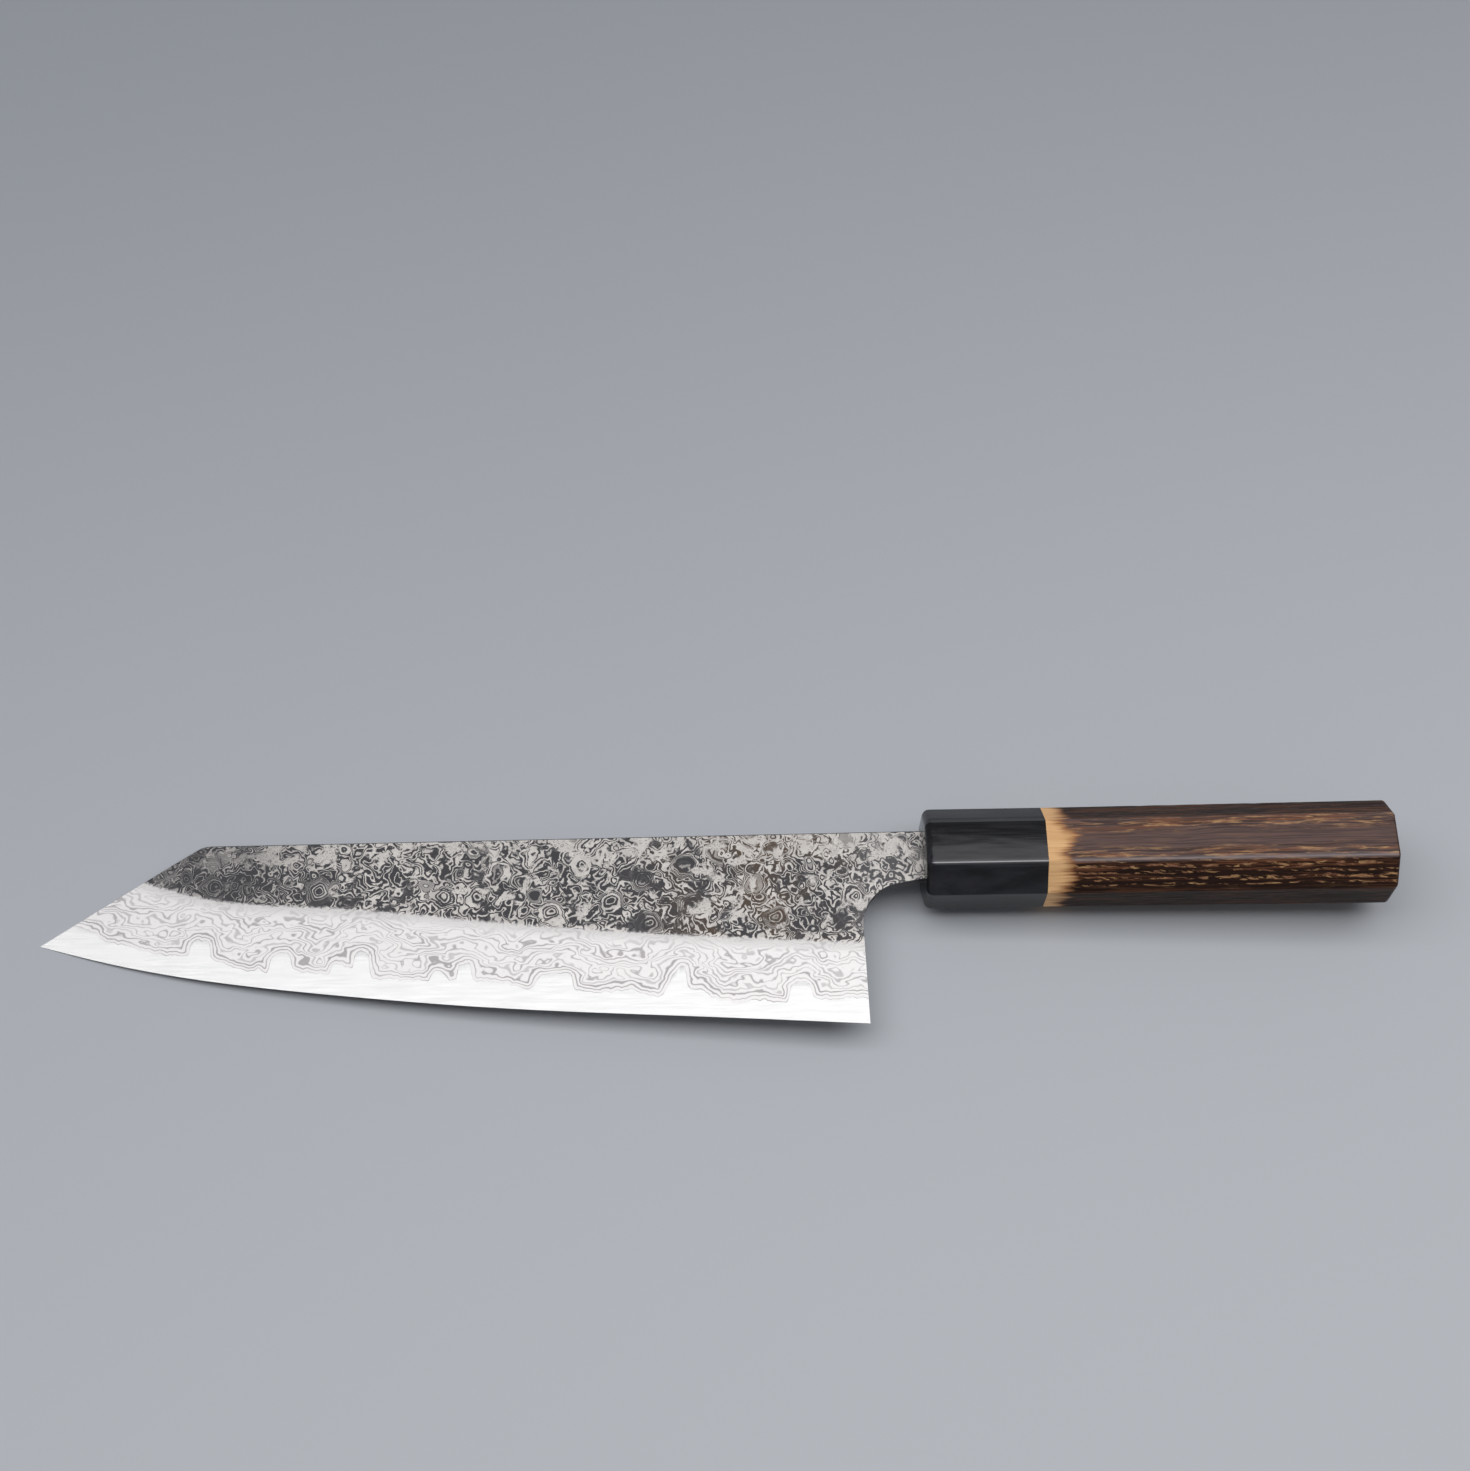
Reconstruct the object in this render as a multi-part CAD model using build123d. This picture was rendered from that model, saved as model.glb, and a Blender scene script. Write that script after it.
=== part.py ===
from build123d import *
import math
import os

# Kiritsuke kitchen knife: a three-layer blade with a stick tang, a horn ferrule and an octagonal wooden
# handle, all glued on one slotted dowel.
# The pieces are drawn straight: X runs from the tip (-X) to the butt (+X), Y from the cutting edge (-Y) to
# the spine (+Y), and the blade's middle plane is z = 0. The front face of the ferrule is x = 0 and the
# handle's axis is y = 0, z = 0. At the end the whole knife is laid on its right cheek as on a table.
# All sizes are in millimetres.

# Blade outline
edge_length = 208.5
heel_height = 51.7
neck_length = 15.8
neck_height = 13.2
neck_rise_angle = 10.0
spine_offset = 7.3
spine_fall = 0.85
heel_lean = 0.7
heel_radius = 11.5
back_angle = 33.9
back_corner_radius = 6.0

# Stations along the edge, from heel (0) to tip (1), with the depth below the spine of the cutting edge and
# of the ridge line where the bevel starts, as shares of the heel height
station_shares = (0.0, 0.21, 0.455, 0.661, 0.815, 0.931, 1.0)
edge_depth_shares = (1.0, 0.943, 0.875, 0.785, 0.694, 0.59, 0.51)
ridge_depth_shares = (0.59, 0.531, 0.437, 0.342, 0.271, 0.106, -0.01)

# Blade thickness
spine_thickness = 3.4
tip_thickness = 1.3
cheek_taper = 1.9
edge_thickness = 0.12
spine_softening = 0.3
core_thickness = 0.75
core_tip_thickness = 0.32

# Tang
tang_height = 10.0
tang_end_height = 6.0
tang_end_thickness = 2.2

# Ferrule and handle
handle_length = 121.5
ferrule_length = 31.0
ferrule_height = 24.0
ferrule_thickness = 21.9
butt_height = 24.6
butt_thickness = 23.6
corner_share = 0.264
facet_softening = 0.35
ferrule_rounding = 2.0
butt_rounding = 1.1

# Dowel, bores and clearances
front_wall = 6.5
shoulder_gap = 1.5
dowel_diameter = 15.6
dowel_fit = 0.05
tang_past_dowel = 24.0
tang_clearance = 0.4
mouth_clearance = 0.3
tip_bore_margin = 3.0
butt_wood = 26.5

# Working values
reach = neck_length + edge_length
tang_length = handle_length - butt_wood - tip_bore_margin
dowel_end = tang_length - tang_past_dowel
neck_under_y = spine_offset - neck_height
neck_middle_y = spine_offset - neck_height / 2
rail_overrun_share = 0.2
bevel_overrun_share = 0.1


def spine_y(x):
    """Height of the spine line over the handle's axis; it falls a little towards the tip."""
    return spine_offset + spine_fall * x / reach


def spine_point(x):
    return Vector(x, spine_y(x))


def station_points(depth_shares):
    """Points along the blade at the stations, each at a share of the heel height below the spine."""
    points = []
    for station, depth in zip(station_shares, depth_shares):
        x = -neck_length - edge_length * station
        points.append(spine_point(x) - Vector(0, heel_height * depth))
    return points


def cheek_point(x, y):
    """Point on the left cheek: flat sides that thin towards the tip, the tang's end and the edge."""
    if x > 0:
        along = (tang_end_thickness - spine_thickness) * x / tang_length
        across = cheek_taper * (spine_offset - y) / heel_height
    else:
        along = (spine_thickness - tip_thickness) * x / reach
        across = cheek_taper * (spine_y(x) - y) / heel_height
    return Vector(x, y, (spine_thickness + along - across) / 2)


def side_plane(origin, along, across, side):
    """Plane through the origin and two directions of the left side, or its mirror image on the right."""
    normal = along.cross(across)
    if normal.Z < 0:
        normal = -normal
    normal.Z *= side
    return Plane(origin=(origin.X, origin.Y, origin.Z * side), z_dir=normal)


def cheek_planes(side):
    """The flat of the blade and, behind the ferrule's front face, the flat of the tang."""
    near = cheek_point(0, spine_offset)
    across = near - cheek_point(0, neck_under_y)
    blade = cheek_point(-reach, spine_y(-reach)) - near
    tang = cheek_point(tang_length, spine_offset) - near
    return [side_plane(near, along, across, side) for along in (blade, tang)]


def spine_softening_plane(side):
    """The narrow flat that takes the sharpness off one edge of the spine."""
    near = cheek_point(0, spine_offset)
    along = cheek_point(-reach, spine_y(-reach)) - near
    return side_plane(near - Vector(0, spine_softening), along, Vector(0, -1, 1), side)


def blade_outline():
    """Side view of blade, neck and tang: straight spine, slanted straight back, curved belly, upright heel."""
    edge_points = station_points(edge_depth_shares)
    heel, tip = edge_points[0], edge_points[-1]
    back = Vector(math.cos(math.radians(back_angle)), math.sin(math.radians(back_angle)))
    fall = spine_fall / reach
    rise = (spine_y(tip.X) - tip.Y) / (back.Y - fall * back.X)
    back_corner = tip + back * rise
    heel_top = Vector(heel.X - heel_lean, neck_under_y)
    heel_top -= Vector(0, (neck_length + heel_lean) * math.tan(math.radians(neck_rise_angle)))
    shoulder_x = front_wall - shoulder_gap
    corners = [
        tip,
        back_corner,
        Vector(0, spine_offset),
        Vector(shoulder_x, spine_offset),
        Vector(shoulder_x, tang_height / 2),
        Vector(tang_length, tang_end_height / 2),
        Vector(tang_length, -tang_end_height / 2),
        Vector(shoulder_x, -tang_height / 2),
        Vector(shoulder_x, neck_under_y),
        Vector(0, neck_under_y),
        heel_top,
        heel,
    ]
    face = make_face(Polyline(corners) + Spline(edge_points))
    face = fillet(face.vertices().sort_by_distance(back_corner)[0], back_corner_radius)
    return fillet(face.vertices().sort_by_distance(heel_top)[0], heel_radius)


def bevel_cutter():
    """What the left bevel grinds away: the space over a ruled face from the ridge line to the edge."""
    upper_rail = []
    lower_rail = []
    for ridge, edge in zip(station_points(ridge_depth_shares), station_points(edge_depth_shares)):
        ridge = cheek_point(ridge.X, ridge.Y)
        edge += Vector(0, 0, edge_thickness / 2)
        past = (ridge - edge) * bevel_overrun_share
        upper_rail.append(ridge + past)
        lower_rail.append(edge - past)
    rails = []
    for points in (upper_rail, lower_rail):
        start = points[0] + (points[0] - points[1]) * rail_overrun_share
        end = points[-1] + (points[-1] - points[-2]) * rail_overrun_share
        rails.append(Spline([start, *points, end]))
    bevel = Face.make_surface_from_curves(rails[0].edge(), rails[1].edge())
    return extrude(bevel, spine_thickness, dir=(0, 0, 1))


def forged_steel():
    """Blade, neck and tang as one solid, before it is told apart into layers."""
    steel = extrude(blade_outline(), spine_thickness, both=True)
    for side in (1, -1):
        for plane in [*cheek_planes(side), spine_softening_plane(side)]:
            steel = split(steel, plane, Keep.BOTTOM)
    left = bevel_cutter()
    return steel - left - mirror(left, Plane.XY)


def layer_plane(side):
    """Face between the core and one cladding: the core thins from the ferrule to the tip."""
    taper = (core_thickness - core_tip_thickness) / 2
    along = Vector(reach, 0, side * taper)
    normal = Vector(-side * taper, 0, reach)
    return Plane(origin=(0, 0, side * core_thickness / 2), x_dir=along, z_dir=normal)


def octagon(x, height, thickness):
    """Corners of an upright octagon across the handle: four flats, and corners cut at 45 degrees."""
    cut = height * corner_share
    quarter = [(height / 2, thickness / 2 - cut), (height / 2 - cut, thickness / 2)]
    corners = quarter + [(-y, z) for y, z in reversed(quarter)]
    corners += [(-y, -z) for y, z in corners]
    return [Vector(x, y, z) for y, z in corners]


def octagonal_bar(front, butt):
    """Bar with flat sides between two octagons, its long edges softened."""
    sides = [Face(Wire.make_polygon(front)), Face(Wire.make_polygon(butt))]
    for index in range(len(front)):
        corners = [front[index - 1], front[index], butt[index], butt[index - 1]]
        sides.append(Face(Wire.make_polygon(corners)))
    bar = Solid(Shell(sides))
    length = butt[0].X - front[0].X
    return fillet([edge for edge in bar.edges() if edge.length >= length], facet_softening)


def round_bar(start, end, diameter):
    """Round bar or bore along the handle's axis."""
    bar = Cylinder(diameter / 2, end - start, align=(Align.CENTER, Align.CENTER, Align.MIN))
    return Plane.YZ.offset(start) * bar


def slot_block(start, end, height, width):
    """Block along the handle's axis, as cut for the neck or the tang."""
    block = Box(end - start, height, width, align=(Align.MIN, Align.CENTER, Align.CENTER))
    return Pos(start, 0, 0) * block


def mouth():
    """The opening in the ferrule's front wall that the neck goes into."""
    height = neck_height + 2 * mouth_clearance
    width = spine_thickness + 2 * mouth_clearance
    return Pos(0, neck_middle_y, 0) * slot_block(0, front_wall, height, width)


def dowel_bore():
    """Round bore through ferrule and handle that takes the dowel."""
    return round_bar(front_wall, dowel_end, dowel_diameter + 2 * dowel_fit)


def tip_bore():
    """Narrow bore past the dowel that takes the last of the tang."""
    share = tang_past_dowel / (tang_length - front_wall + shoulder_gap)
    height = tang_end_height + (tang_height - tang_end_height) * share
    diameter = math.hypot(height, spine_thickness) + 2 * tang_clearance
    return round_bar(dowel_end, tang_length + tip_bore_margin, diameter)


def tang_slot():
    """Slot through the whole dowel, a glue gap wider than the tang all round."""
    height = tang_height + 2 * tang_clearance
    width = spine_thickness + 2 * tang_clearance
    return slot_block(front_wall, dowel_end, height, width)


def ferrule():
    """Octagonal horn collar, rounded in front, bored from behind for the dowel."""
    front = octagon(0, ferrule_height, ferrule_thickness)
    joint = octagon(ferrule_length, ferrule_height, ferrule_thickness)
    body = octagonal_bar(front, joint)
    body = fillet(body.faces().sort_by(Axis.X)[0].edges(), ferrule_rounding)
    return body - mouth() - dowel_bore()


def handle_body():
    """Octagonal wooden body that swells a little towards its softened butt."""
    joint = octagon(ferrule_length, ferrule_height, ferrule_thickness)
    butt = octagon(handle_length, butt_height, butt_thickness)
    body = octagonal_bar(joint, butt)
    body = fillet(body.faces().sort_by(Axis.X)[-1].edges(), butt_rounding)
    return body - dowel_bore() - tip_bore()


def joining_dowel():
    """Hardwood dowel that joins ferrule and handle, slotted from end to end for the tang."""
    return round_bar(front_wall, dowel_end, dowel_diameter) - tang_slot()


def resting_place(solids):
    """Lay the straight knife down: the tip and the ferrule's lower front rounding touch the table."""
    run = reach + ferrule_rounding
    drop = ferrule_thickness / 2 - ferrule_rounding - edge_thickness / 2
    tilt = math.atan2(drop, run) + math.asin(ferrule_rounding / math.hypot(run, drop))
    lift = reach * math.sin(tilt) + edge_thickness / 2 * math.cos(tilt)
    laid = Location((0, 0, lift), (0, -math.degrees(tilt), 0))
    box = Compound([laid * solid for solid in solids]).bounding_box()
    return Pos(-box.center().X, -box.center().Y, 0) * laid


steel = forged_steel()
left_cladding = split(steel, layer_plane(1), Keep.TOP)
inner_steel = split(steel, layer_plane(1), Keep.BOTTOM)
core_steel = split(inner_steel, layer_plane(-1), Keep.TOP)
right_cladding = split(inner_steel, layer_plane(-1), Keep.BOTTOM)

pieces = {
    "core_steel": core_steel,
    "left_cladding": left_cladding,
    "right_cladding": right_cladding,
    "ferrule": ferrule(),
    "handle_body": handle_body(),
    "joining_dowel": joining_dowel(),
    "tang_adhesive": tang_slot() + tip_bore() - steel,
    "mouth_seal": mouth() - steel,
}

place = resting_place(pieces.values())
os.makedirs("parts", exist_ok=True)
for name, piece in pieces.items():
    export_step(place * piece, f"parts/{name}.step")
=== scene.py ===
import math

import bmesh
import bpy
import numpy as np
from bpy.props import FloatProperty, FloatVectorProperty, PointerProperty
from mathutils import Euler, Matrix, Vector


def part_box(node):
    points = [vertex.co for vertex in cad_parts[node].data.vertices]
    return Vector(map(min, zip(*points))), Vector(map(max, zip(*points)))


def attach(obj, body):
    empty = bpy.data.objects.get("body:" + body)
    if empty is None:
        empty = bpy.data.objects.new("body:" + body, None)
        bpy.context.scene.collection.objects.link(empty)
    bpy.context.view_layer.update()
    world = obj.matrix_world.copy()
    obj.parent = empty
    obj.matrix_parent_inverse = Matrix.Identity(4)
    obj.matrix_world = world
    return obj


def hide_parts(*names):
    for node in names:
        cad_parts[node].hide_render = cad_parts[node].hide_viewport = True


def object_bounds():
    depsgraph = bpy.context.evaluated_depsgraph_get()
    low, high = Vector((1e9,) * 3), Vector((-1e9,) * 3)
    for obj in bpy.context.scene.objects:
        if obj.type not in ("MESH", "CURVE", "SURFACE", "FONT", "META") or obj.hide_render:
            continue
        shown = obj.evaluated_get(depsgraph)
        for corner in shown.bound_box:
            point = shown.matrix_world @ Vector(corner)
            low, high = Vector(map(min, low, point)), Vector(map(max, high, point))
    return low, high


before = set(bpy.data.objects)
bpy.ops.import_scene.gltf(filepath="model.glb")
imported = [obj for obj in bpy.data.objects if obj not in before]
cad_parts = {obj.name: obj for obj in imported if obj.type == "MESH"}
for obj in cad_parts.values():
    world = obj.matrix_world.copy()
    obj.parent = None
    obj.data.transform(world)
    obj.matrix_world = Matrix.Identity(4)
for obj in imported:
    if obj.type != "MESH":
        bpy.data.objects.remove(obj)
cad_box = [list(corner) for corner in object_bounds()]

bl_info = {
    "name": "Kiritsuke Knife",
    "version": (1, 0, 0),
    "blender": (4, 5, 0),
    "location": "3D View > Sidebar > Knife",
    "description": "Makes the visible pieces and finishes of a layered kitchen knife, and its stage",
    "category": "Object",
}

BODY = "root"
MM = 0.001
PER_METRE = 1000.0
WELD = 3e-7
TINY = 1e-9

# How finely the grids are divided: rows up the steel, points round the octagon, rings along the handle.
CLADDING_ROWS, CHEEK_ROWS = 30, 24
BARE_CORE_ROWS, CORE_ROWS, CORE_CHEEK_ROWS = 8, 12, 8
FLAT_POINTS, CORNER_POINTS = 14, 7
ROUNDING_RINGS, FERRULE_RINGS, WOOD_RINGS, BUTT_RINGS = 9, 12, 200, 8


def length(name, description, default):
    return FloatProperty(name=name, description=description, default=default * MM, unit="LENGTH", precision=5)


def angle(name, description, default):
    return FloatProperty(name=name, description=description, default=math.radians(default), subtype="ANGLE")


def share(name, description, default):
    return FloatProperty(name=name, description=description, default=default, subtype="FACTOR")


def colour(name, description, default):
    return FloatVectorProperty(
        name=name, description=description, default=default, size=3, min=0.0, max=1.0, subtype="COLOR"
    )


class BladeSizes(bpy.types.PropertyGroup):
    """Sizes of the layered blade, its neck and its tang, in the straight frame of the knife."""

    edge_length: length("Edge length", "From the tip to the heel, along the knife", 208.5)
    heel_height: length("Heel height", "From the spine down to the heel", 51.7)
    neck_length: length("Neck length", "From the heel to the front face of the ferrule", 15.8)
    neck_height: length("Neck height", "Height of the steel where it enters the ferrule", 13.2)
    neck_rise: angle("Neck rise", "Slope of the underside of the neck", 10.0)
    spine_offset: length("Spine offset", "Height of the spine over the handle's axis, at the ferrule", 7.3)
    spine_fall: length("Spine fall", "How much the spine falls towards the tip", 0.85)
    heel_lean: length("Heel lean", "How far the heel line leans towards the tip at its top", 0.7)
    heel_radius: length("Heel radius", "Radius between the heel line and the neck", 11.5)
    back_angle: angle("Back angle", "Slope of the straight back behind the tip", 33.9)
    back_radius: length("Back corner radius", "Radius between the back and the spine", 6.0)
    spine_thickness: length("Spine thickness", "Thickness of the spine at the ferrule", 3.4)
    tip_thickness: length("Tip thickness", "Thickness of the spine line over the tip", 1.3)
    cheek_taper: length("Cheek taper", "Loss of thickness over one heel height", 1.9)
    edge_thickness: length("Edge thickness", "Thickness of the cutting edge", 0.12)
    spine_softening: length("Spine softening", "Width of the flat that softens the spine", 0.3)
    core_thickness: length("Core thickness", "Thickness of the core at the ferrule", 0.75)
    core_tip_thickness: length("Core tip thickness", "Thickness of the core at the tip", 0.32)
    core_blend: length("Core blend", "How soon the core's hidden face levels out above the core line", 1.5)
    shoulder: length("Shoulder", "From the ferrule's front face to the shoulder of the tang", 5.0)
    tang_length: length("Tang length", "From the ferrule's front face to the end of the tang", 92.0)
    tang_height: length("Tang height", "Height of the tang at its shoulder", 10.0)
    tang_end_height: length("Tang end height", "Height of the tang at its end", 6.0)
    tang_end_thickness: length("Tang end thickness", "Thickness of the tang at its end", 2.2)
    column: length("Column width", "Distance between the grid's columns along the blade", 0.35)


class HandleSizes(bpy.types.PropertyGroup):
    """Sizes of the octagonal ferrule and handle, and of their bores."""

    handle_length: length("Handle length", "From the ferrule's front face to the butt", 121.5)
    ferrule_length: length("Ferrule length", "Length of the horn ferrule", 31.0)
    ferrule_height: length("Ferrule height", "Height of the octagon at the ferrule", 24.0)
    ferrule_thickness: length("Ferrule thickness", "Thickness of the octagon at the ferrule", 21.9)
    butt_height: length("Butt height", "Height of the octagon at the butt", 24.6)
    butt_thickness: length("Butt thickness", "Thickness of the octagon at the butt", 23.6)
    corner_share: share("Corner share", "Corner cut as a share of the octagon's height", 0.264)
    horn_softening: length("Horn softening", "Radius of the ferrule's long edges", 0.55)
    wood_softening: length("Wood softening", "Radius of the wooden handle's long edges", 0.9)
    # The two reaches below set the width of the painted highlight along the long edges of the ferrule and of
    # the wood.
    horn_highlight_reach: length("Horn wear", "Reach of the wear beside the ferrule's long edges", 0.25)
    wood_highlight_reach: length("Wood wear", "Reach of the wear beside the wood's long edges", 0.6)
    ferrule_rounding: length("Ferrule rounding", "Radius of the ferrule's front edge", 2.0)
    butt_rounding: length("Butt rounding", "Radius of the butt's edge", 1.3)
    front_wall: length("Front wall", "Thickness of the wall that the neck passes through", 6.5)
    mouth_height: length("Mouth height", "Height of the opening for the neck", 13.8)
    mouth_width: length("Mouth width", "Width of the opening for the neck", 4.0)
    mouth_rise: length("Mouth rise", "Height of the opening's middle over the handle's axis", 0.7)
    bore_diameter: length("Bore diameter", "Diameter of the bore for the dowel", 15.7)
    dowel_end: length("Dowel end", "From the ferrule's front face to the end of the dowel bore", 68.0)
    tip_bore_diameter: length("Tip bore diameter", "Diameter of the narrow bore for the tang's end", 8.68)
    tip_bore_end: length("Tip bore end", "From the ferrule's front face to the end of the narrow bore", 95.0)
    grain_depth: length("Grain depth", "Depth of the brushed grooves in the wood", 0.07)


class FinishColours(bpy.types.PropertyGroup):
    """Base colours of the finishes."""

    forge_black: colour("Forge black", "Dark layers and skin above the ridge line", (0.055, 0.053, 0.058))
    forge_brown: colour("Forge brown", "Brown tint of the forge skin near the heel", (0.1, 0.07, 0.05))
    neck_grey: colour("Neck grey", "Lighter forge skin on the neck", (0.3, 0.29, 0.29))
    bare_layer: colour("Bare layer", "Pale layers above the ridge line", (0.5, 0.47, 0.44))
    bevel_ground: colour("Bevel ground", "Pale layers of the polished bevel", (0.525, 0.506, 0.497))
    bevel_line: colour("Bevel line", "Grey layers of the polished bevel", (0.34, 0.322, 0.318))
    bevel_haze: colour("Bevel haze", "Matt strip of the bevel under the ridge line", (0.4, 0.385, 0.375))
    core_white: colour("Core white", "Polished core steel at the edge", (0.555, 0.55, 0.542))
    horn_black: colour("Horn black", "Polished horn of the ferrule", (0.004, 0.004, 0.005))
    horn_marble: colour("Horn marble", "Paler clouds in the horn", (0.045, 0.045, 0.053))
    horn_fibre: colour("Horn fibre", "Fine streaks in the horn", (0.012, 0.011, 0.011))
    # Painted sheen colour for the broad facets, towards the edge's side.
    painted_horn_sheen: colour("Horn sheen", "Sheen of the broad facets towards the edge's side", (0.05, 0.05, 0.058))
    # Painted highlight colour for the ferrule's long edges, mostly on the edge's side.
    horn_edge_highlight: colour("Worn horn", "Long edges of the ferrule that fingers polish", (0.8, 0.8, 0.83))
    burnt_wood: colour("Burnt wood", "Dark fibres of the handle", (0.02, 0.0095, 0.007))
    # Painted sheen colour, added on the broad facets of the handle.
    painted_wood_sheen: colour("Waxed wood", "Sheen of wax on the broad facets", (0.172, 0.125, 0.121))
    copper_wood: colour("Copper wood", "Warm bands of the handle", (0.25, 0.1, 0.05))
    red_wood: colour("Red wood", "Darkest of the short pale fibres", (0.36, 0.17, 0.1))
    gold_wood: colour("Gold wood", "Brightest of the short pale fibres", (0.74, 0.43, 0.2))
    # Painted highlight colour for the handle's long edges, mostly on the edge's side.
    wood_edge_highlight: colour("Worn wood", "Long edges of the handle that fingers polish", (0.46, 0.4, 0.41))
    wood_pore: colour("Wood pore", "Pores of the end grain", (0.008, 0.005, 0.004))
    bare_wood: colour("Bare wood", "Unburnt wood beside the ferrule", (1.0, 0.62, 0.31))
    bare_fibre: colour("Bare fibre", "Darker fibres of the unburnt wood", (0.62, 0.29, 0.1))
    scorched_wood: colour("Scorched wood", "Unburnt wood at the border of the burnt part", (0.3, 0.1, 0.035))
    floor: colour("Floor", "Plain floor behind the knife", (0.375, 0.398, 0.44))
    # Painted light: the floor's colour grows from the one above to this one towards the camera.
    painted_lit_floor: colour("Near floor", "Plain floor in front of the knife", (0.73, 0.762, 0.808))
    background: colour("Background", "Behind the floor, and the floor's far part", (0.36, 0.38, 0.42))


class StageSettings(bpy.types.PropertyGroup):
    """The camera, the lamps and the floor."""

    camera_place: FloatVectorProperty(
        name="Camera place", description="Where the camera stands", size=3, subtype="TRANSLATION",
        default=(-0.050354, -0.240076, 0.612412), precision=6,
    )
    camera_turn: FloatVectorProperty(
        name="Camera turn", description="How the camera is turned", size=3, subtype="EULER",
        default=(math.radians(25.8935), math.radians(-4.2941), math.radians(-1.7067)), precision=6,
    )
    lens: FloatProperty(name="Lens", description="Focal length on a 36 mm wide frame", default=62.3976)
    floor_size: length("Floor size", "Side of the square floor", 8000.0)
    softbox: FloatProperty(name="Softbox", description="Brightness of the lamp overhead", default=1.9)
    back_softbox: FloatProperty(name="Back softbox", description="Brightness of the lamp behind", default=2.0)
    sky: FloatProperty(name="Sky", description="Brightness of the world overhead", default=0.2)


# The line where the core shows from under the cladding: places along the blade and heights, in millimetres.
core_line = (
    (-213.4, -15.5), (-210.6, -16.4), (-209.3, -18.2), (-207.9, -18.9), (-204.2, -19.7), (-200.5, -20.8),
    (-196.7, -22.1), (-192.9, -22.8), (-188.0, -23.1), (-187.0, -23.0), (-186.7, -20.2), (-186.0, -19.2),
    (-184.8, -18.9), (-184.0, -19.5), (-183.1, -18.9), (-182.2, -19.2), (-181.8, -20.0), (-181.6, -23.6),
    (-181.0, -24.2), (-176.5, -25.9), (-171.8, -27.7), (-169.4, -26.9), (-167.2, -28.2), (-166.7, -27.4),
    (-166.3, -24.6), (-165.2, -23.2), (-163.5, -22.6), (-162.0, -23.0), (-161.3, -24.2), (-161.0, -27.0),
    (-160.0, -27.6), (-153.8, -28.7), (-151.4, -28.5), (-151.0, -26.4), (-149.5, -26.0), (-147.0, -27.1),
    (-145.6, -27.0), (-145.2, -23.6), (-144.2, -22.9), (-142.6, -23.0), (-141.8, -23.8), (-141.4, -28.9),
    (-140.6, -30.1), (-131.9, -30.6), (-126.5, -30.9), (-125.0, -28.2), (-123.4, -28.9), (-121.2, -30.9),
    (-119.5, -30.7), (-119.0, -27.4), (-117.8, -26.6), (-116.2, -26.8), (-115.7, -30.3), (-114.6, -31.3),
    (-107.0, -32.1), (-101.6, -33.8), (-100.3, -33.2), (-98.6, -30.4), (-97.0, -29.7), (-92.0, -29.6),
    (-90.5, -30.2), (-90.2, -33.4), (-89.4, -34.4), (-83.5, -35.0), (-75.5, -34.3), (-71.5, -35.7),
    (-68.9, -36.6), (-67.4, -35.4), (-65.2, -31.0), (-62.6, -28.2), (-61.9, -28.6), (-61.6, -33.4),
    (-60.8, -34.2), (-57.6, -35.0), (-54.6, -37.2), (-49.9, -38.3), (-42.6, -37.7), (-38.8, -38.6),
    (-36.6, -38.4), (-35.9, -37.0), (-35.4, -34.2), (-34.2, -33.4), (-31.6, -33.3), (-30.4, -34.0),
    (-30.0, -37.2), (-28.4, -37.8), (-25.7, -38.0), (-20.0, -37.6), (-14.0, -37.9),
)
core_line_start = -216.2


def spline_through(knots, values, places):
    """Natural cubic spline through the values: slope and bend are continuous, and it ends without bend."""
    knots, values, places = (np.asarray(each, float) for each in (knots, values, places))
    steps = np.diff(knots)
    slopes = np.diff(values) / steps
    system = np.eye(len(knots))
    right = np.zeros(len(knots))
    inner = np.arange(1, len(knots) - 1)
    system[inner, inner - 1] = steps[:-1]
    system[inner, inner] = 2 * (steps[:-1] + steps[1:])
    system[inner, inner + 1] = steps[1:]
    right[inner] = 6 * np.diff(slopes)
    bends = np.linalg.solve(system, right)
    piece = np.clip(np.searchsorted(knots, places) - 1, 0, len(steps) - 1)
    step = steps[piece]
    after = places - knots[piece]
    before = knots[piece + 1] - places
    cubic = (bends[piece] * before**3 + bends[piece + 1] * after**3) / (6 * step)
    low = (values[piece] / step - bends[piece] * step / 6) * before
    high = (values[piece + 1] / step - bends[piece + 1] * step / 6) * after
    return cubic + low + high


def rippled(places, sizes, depths, seed, sway=1.7, sway_share=3.1):
    """Sum of sines of the given wavelengths and depths, each swaying slowly and turned by a seeded phase."""
    phases = np.random.default_rng(seed).uniform(0, math.tau, (len(sizes), 2))
    total = np.zeros(np.shape(places))
    for size, depth, (first, second) in zip(sizes, depths, phases):
        turn = math.tau * places / size
        total += depth * np.sin(turn + first + sway * np.sin(turn / sway_share + second))
    return total


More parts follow.
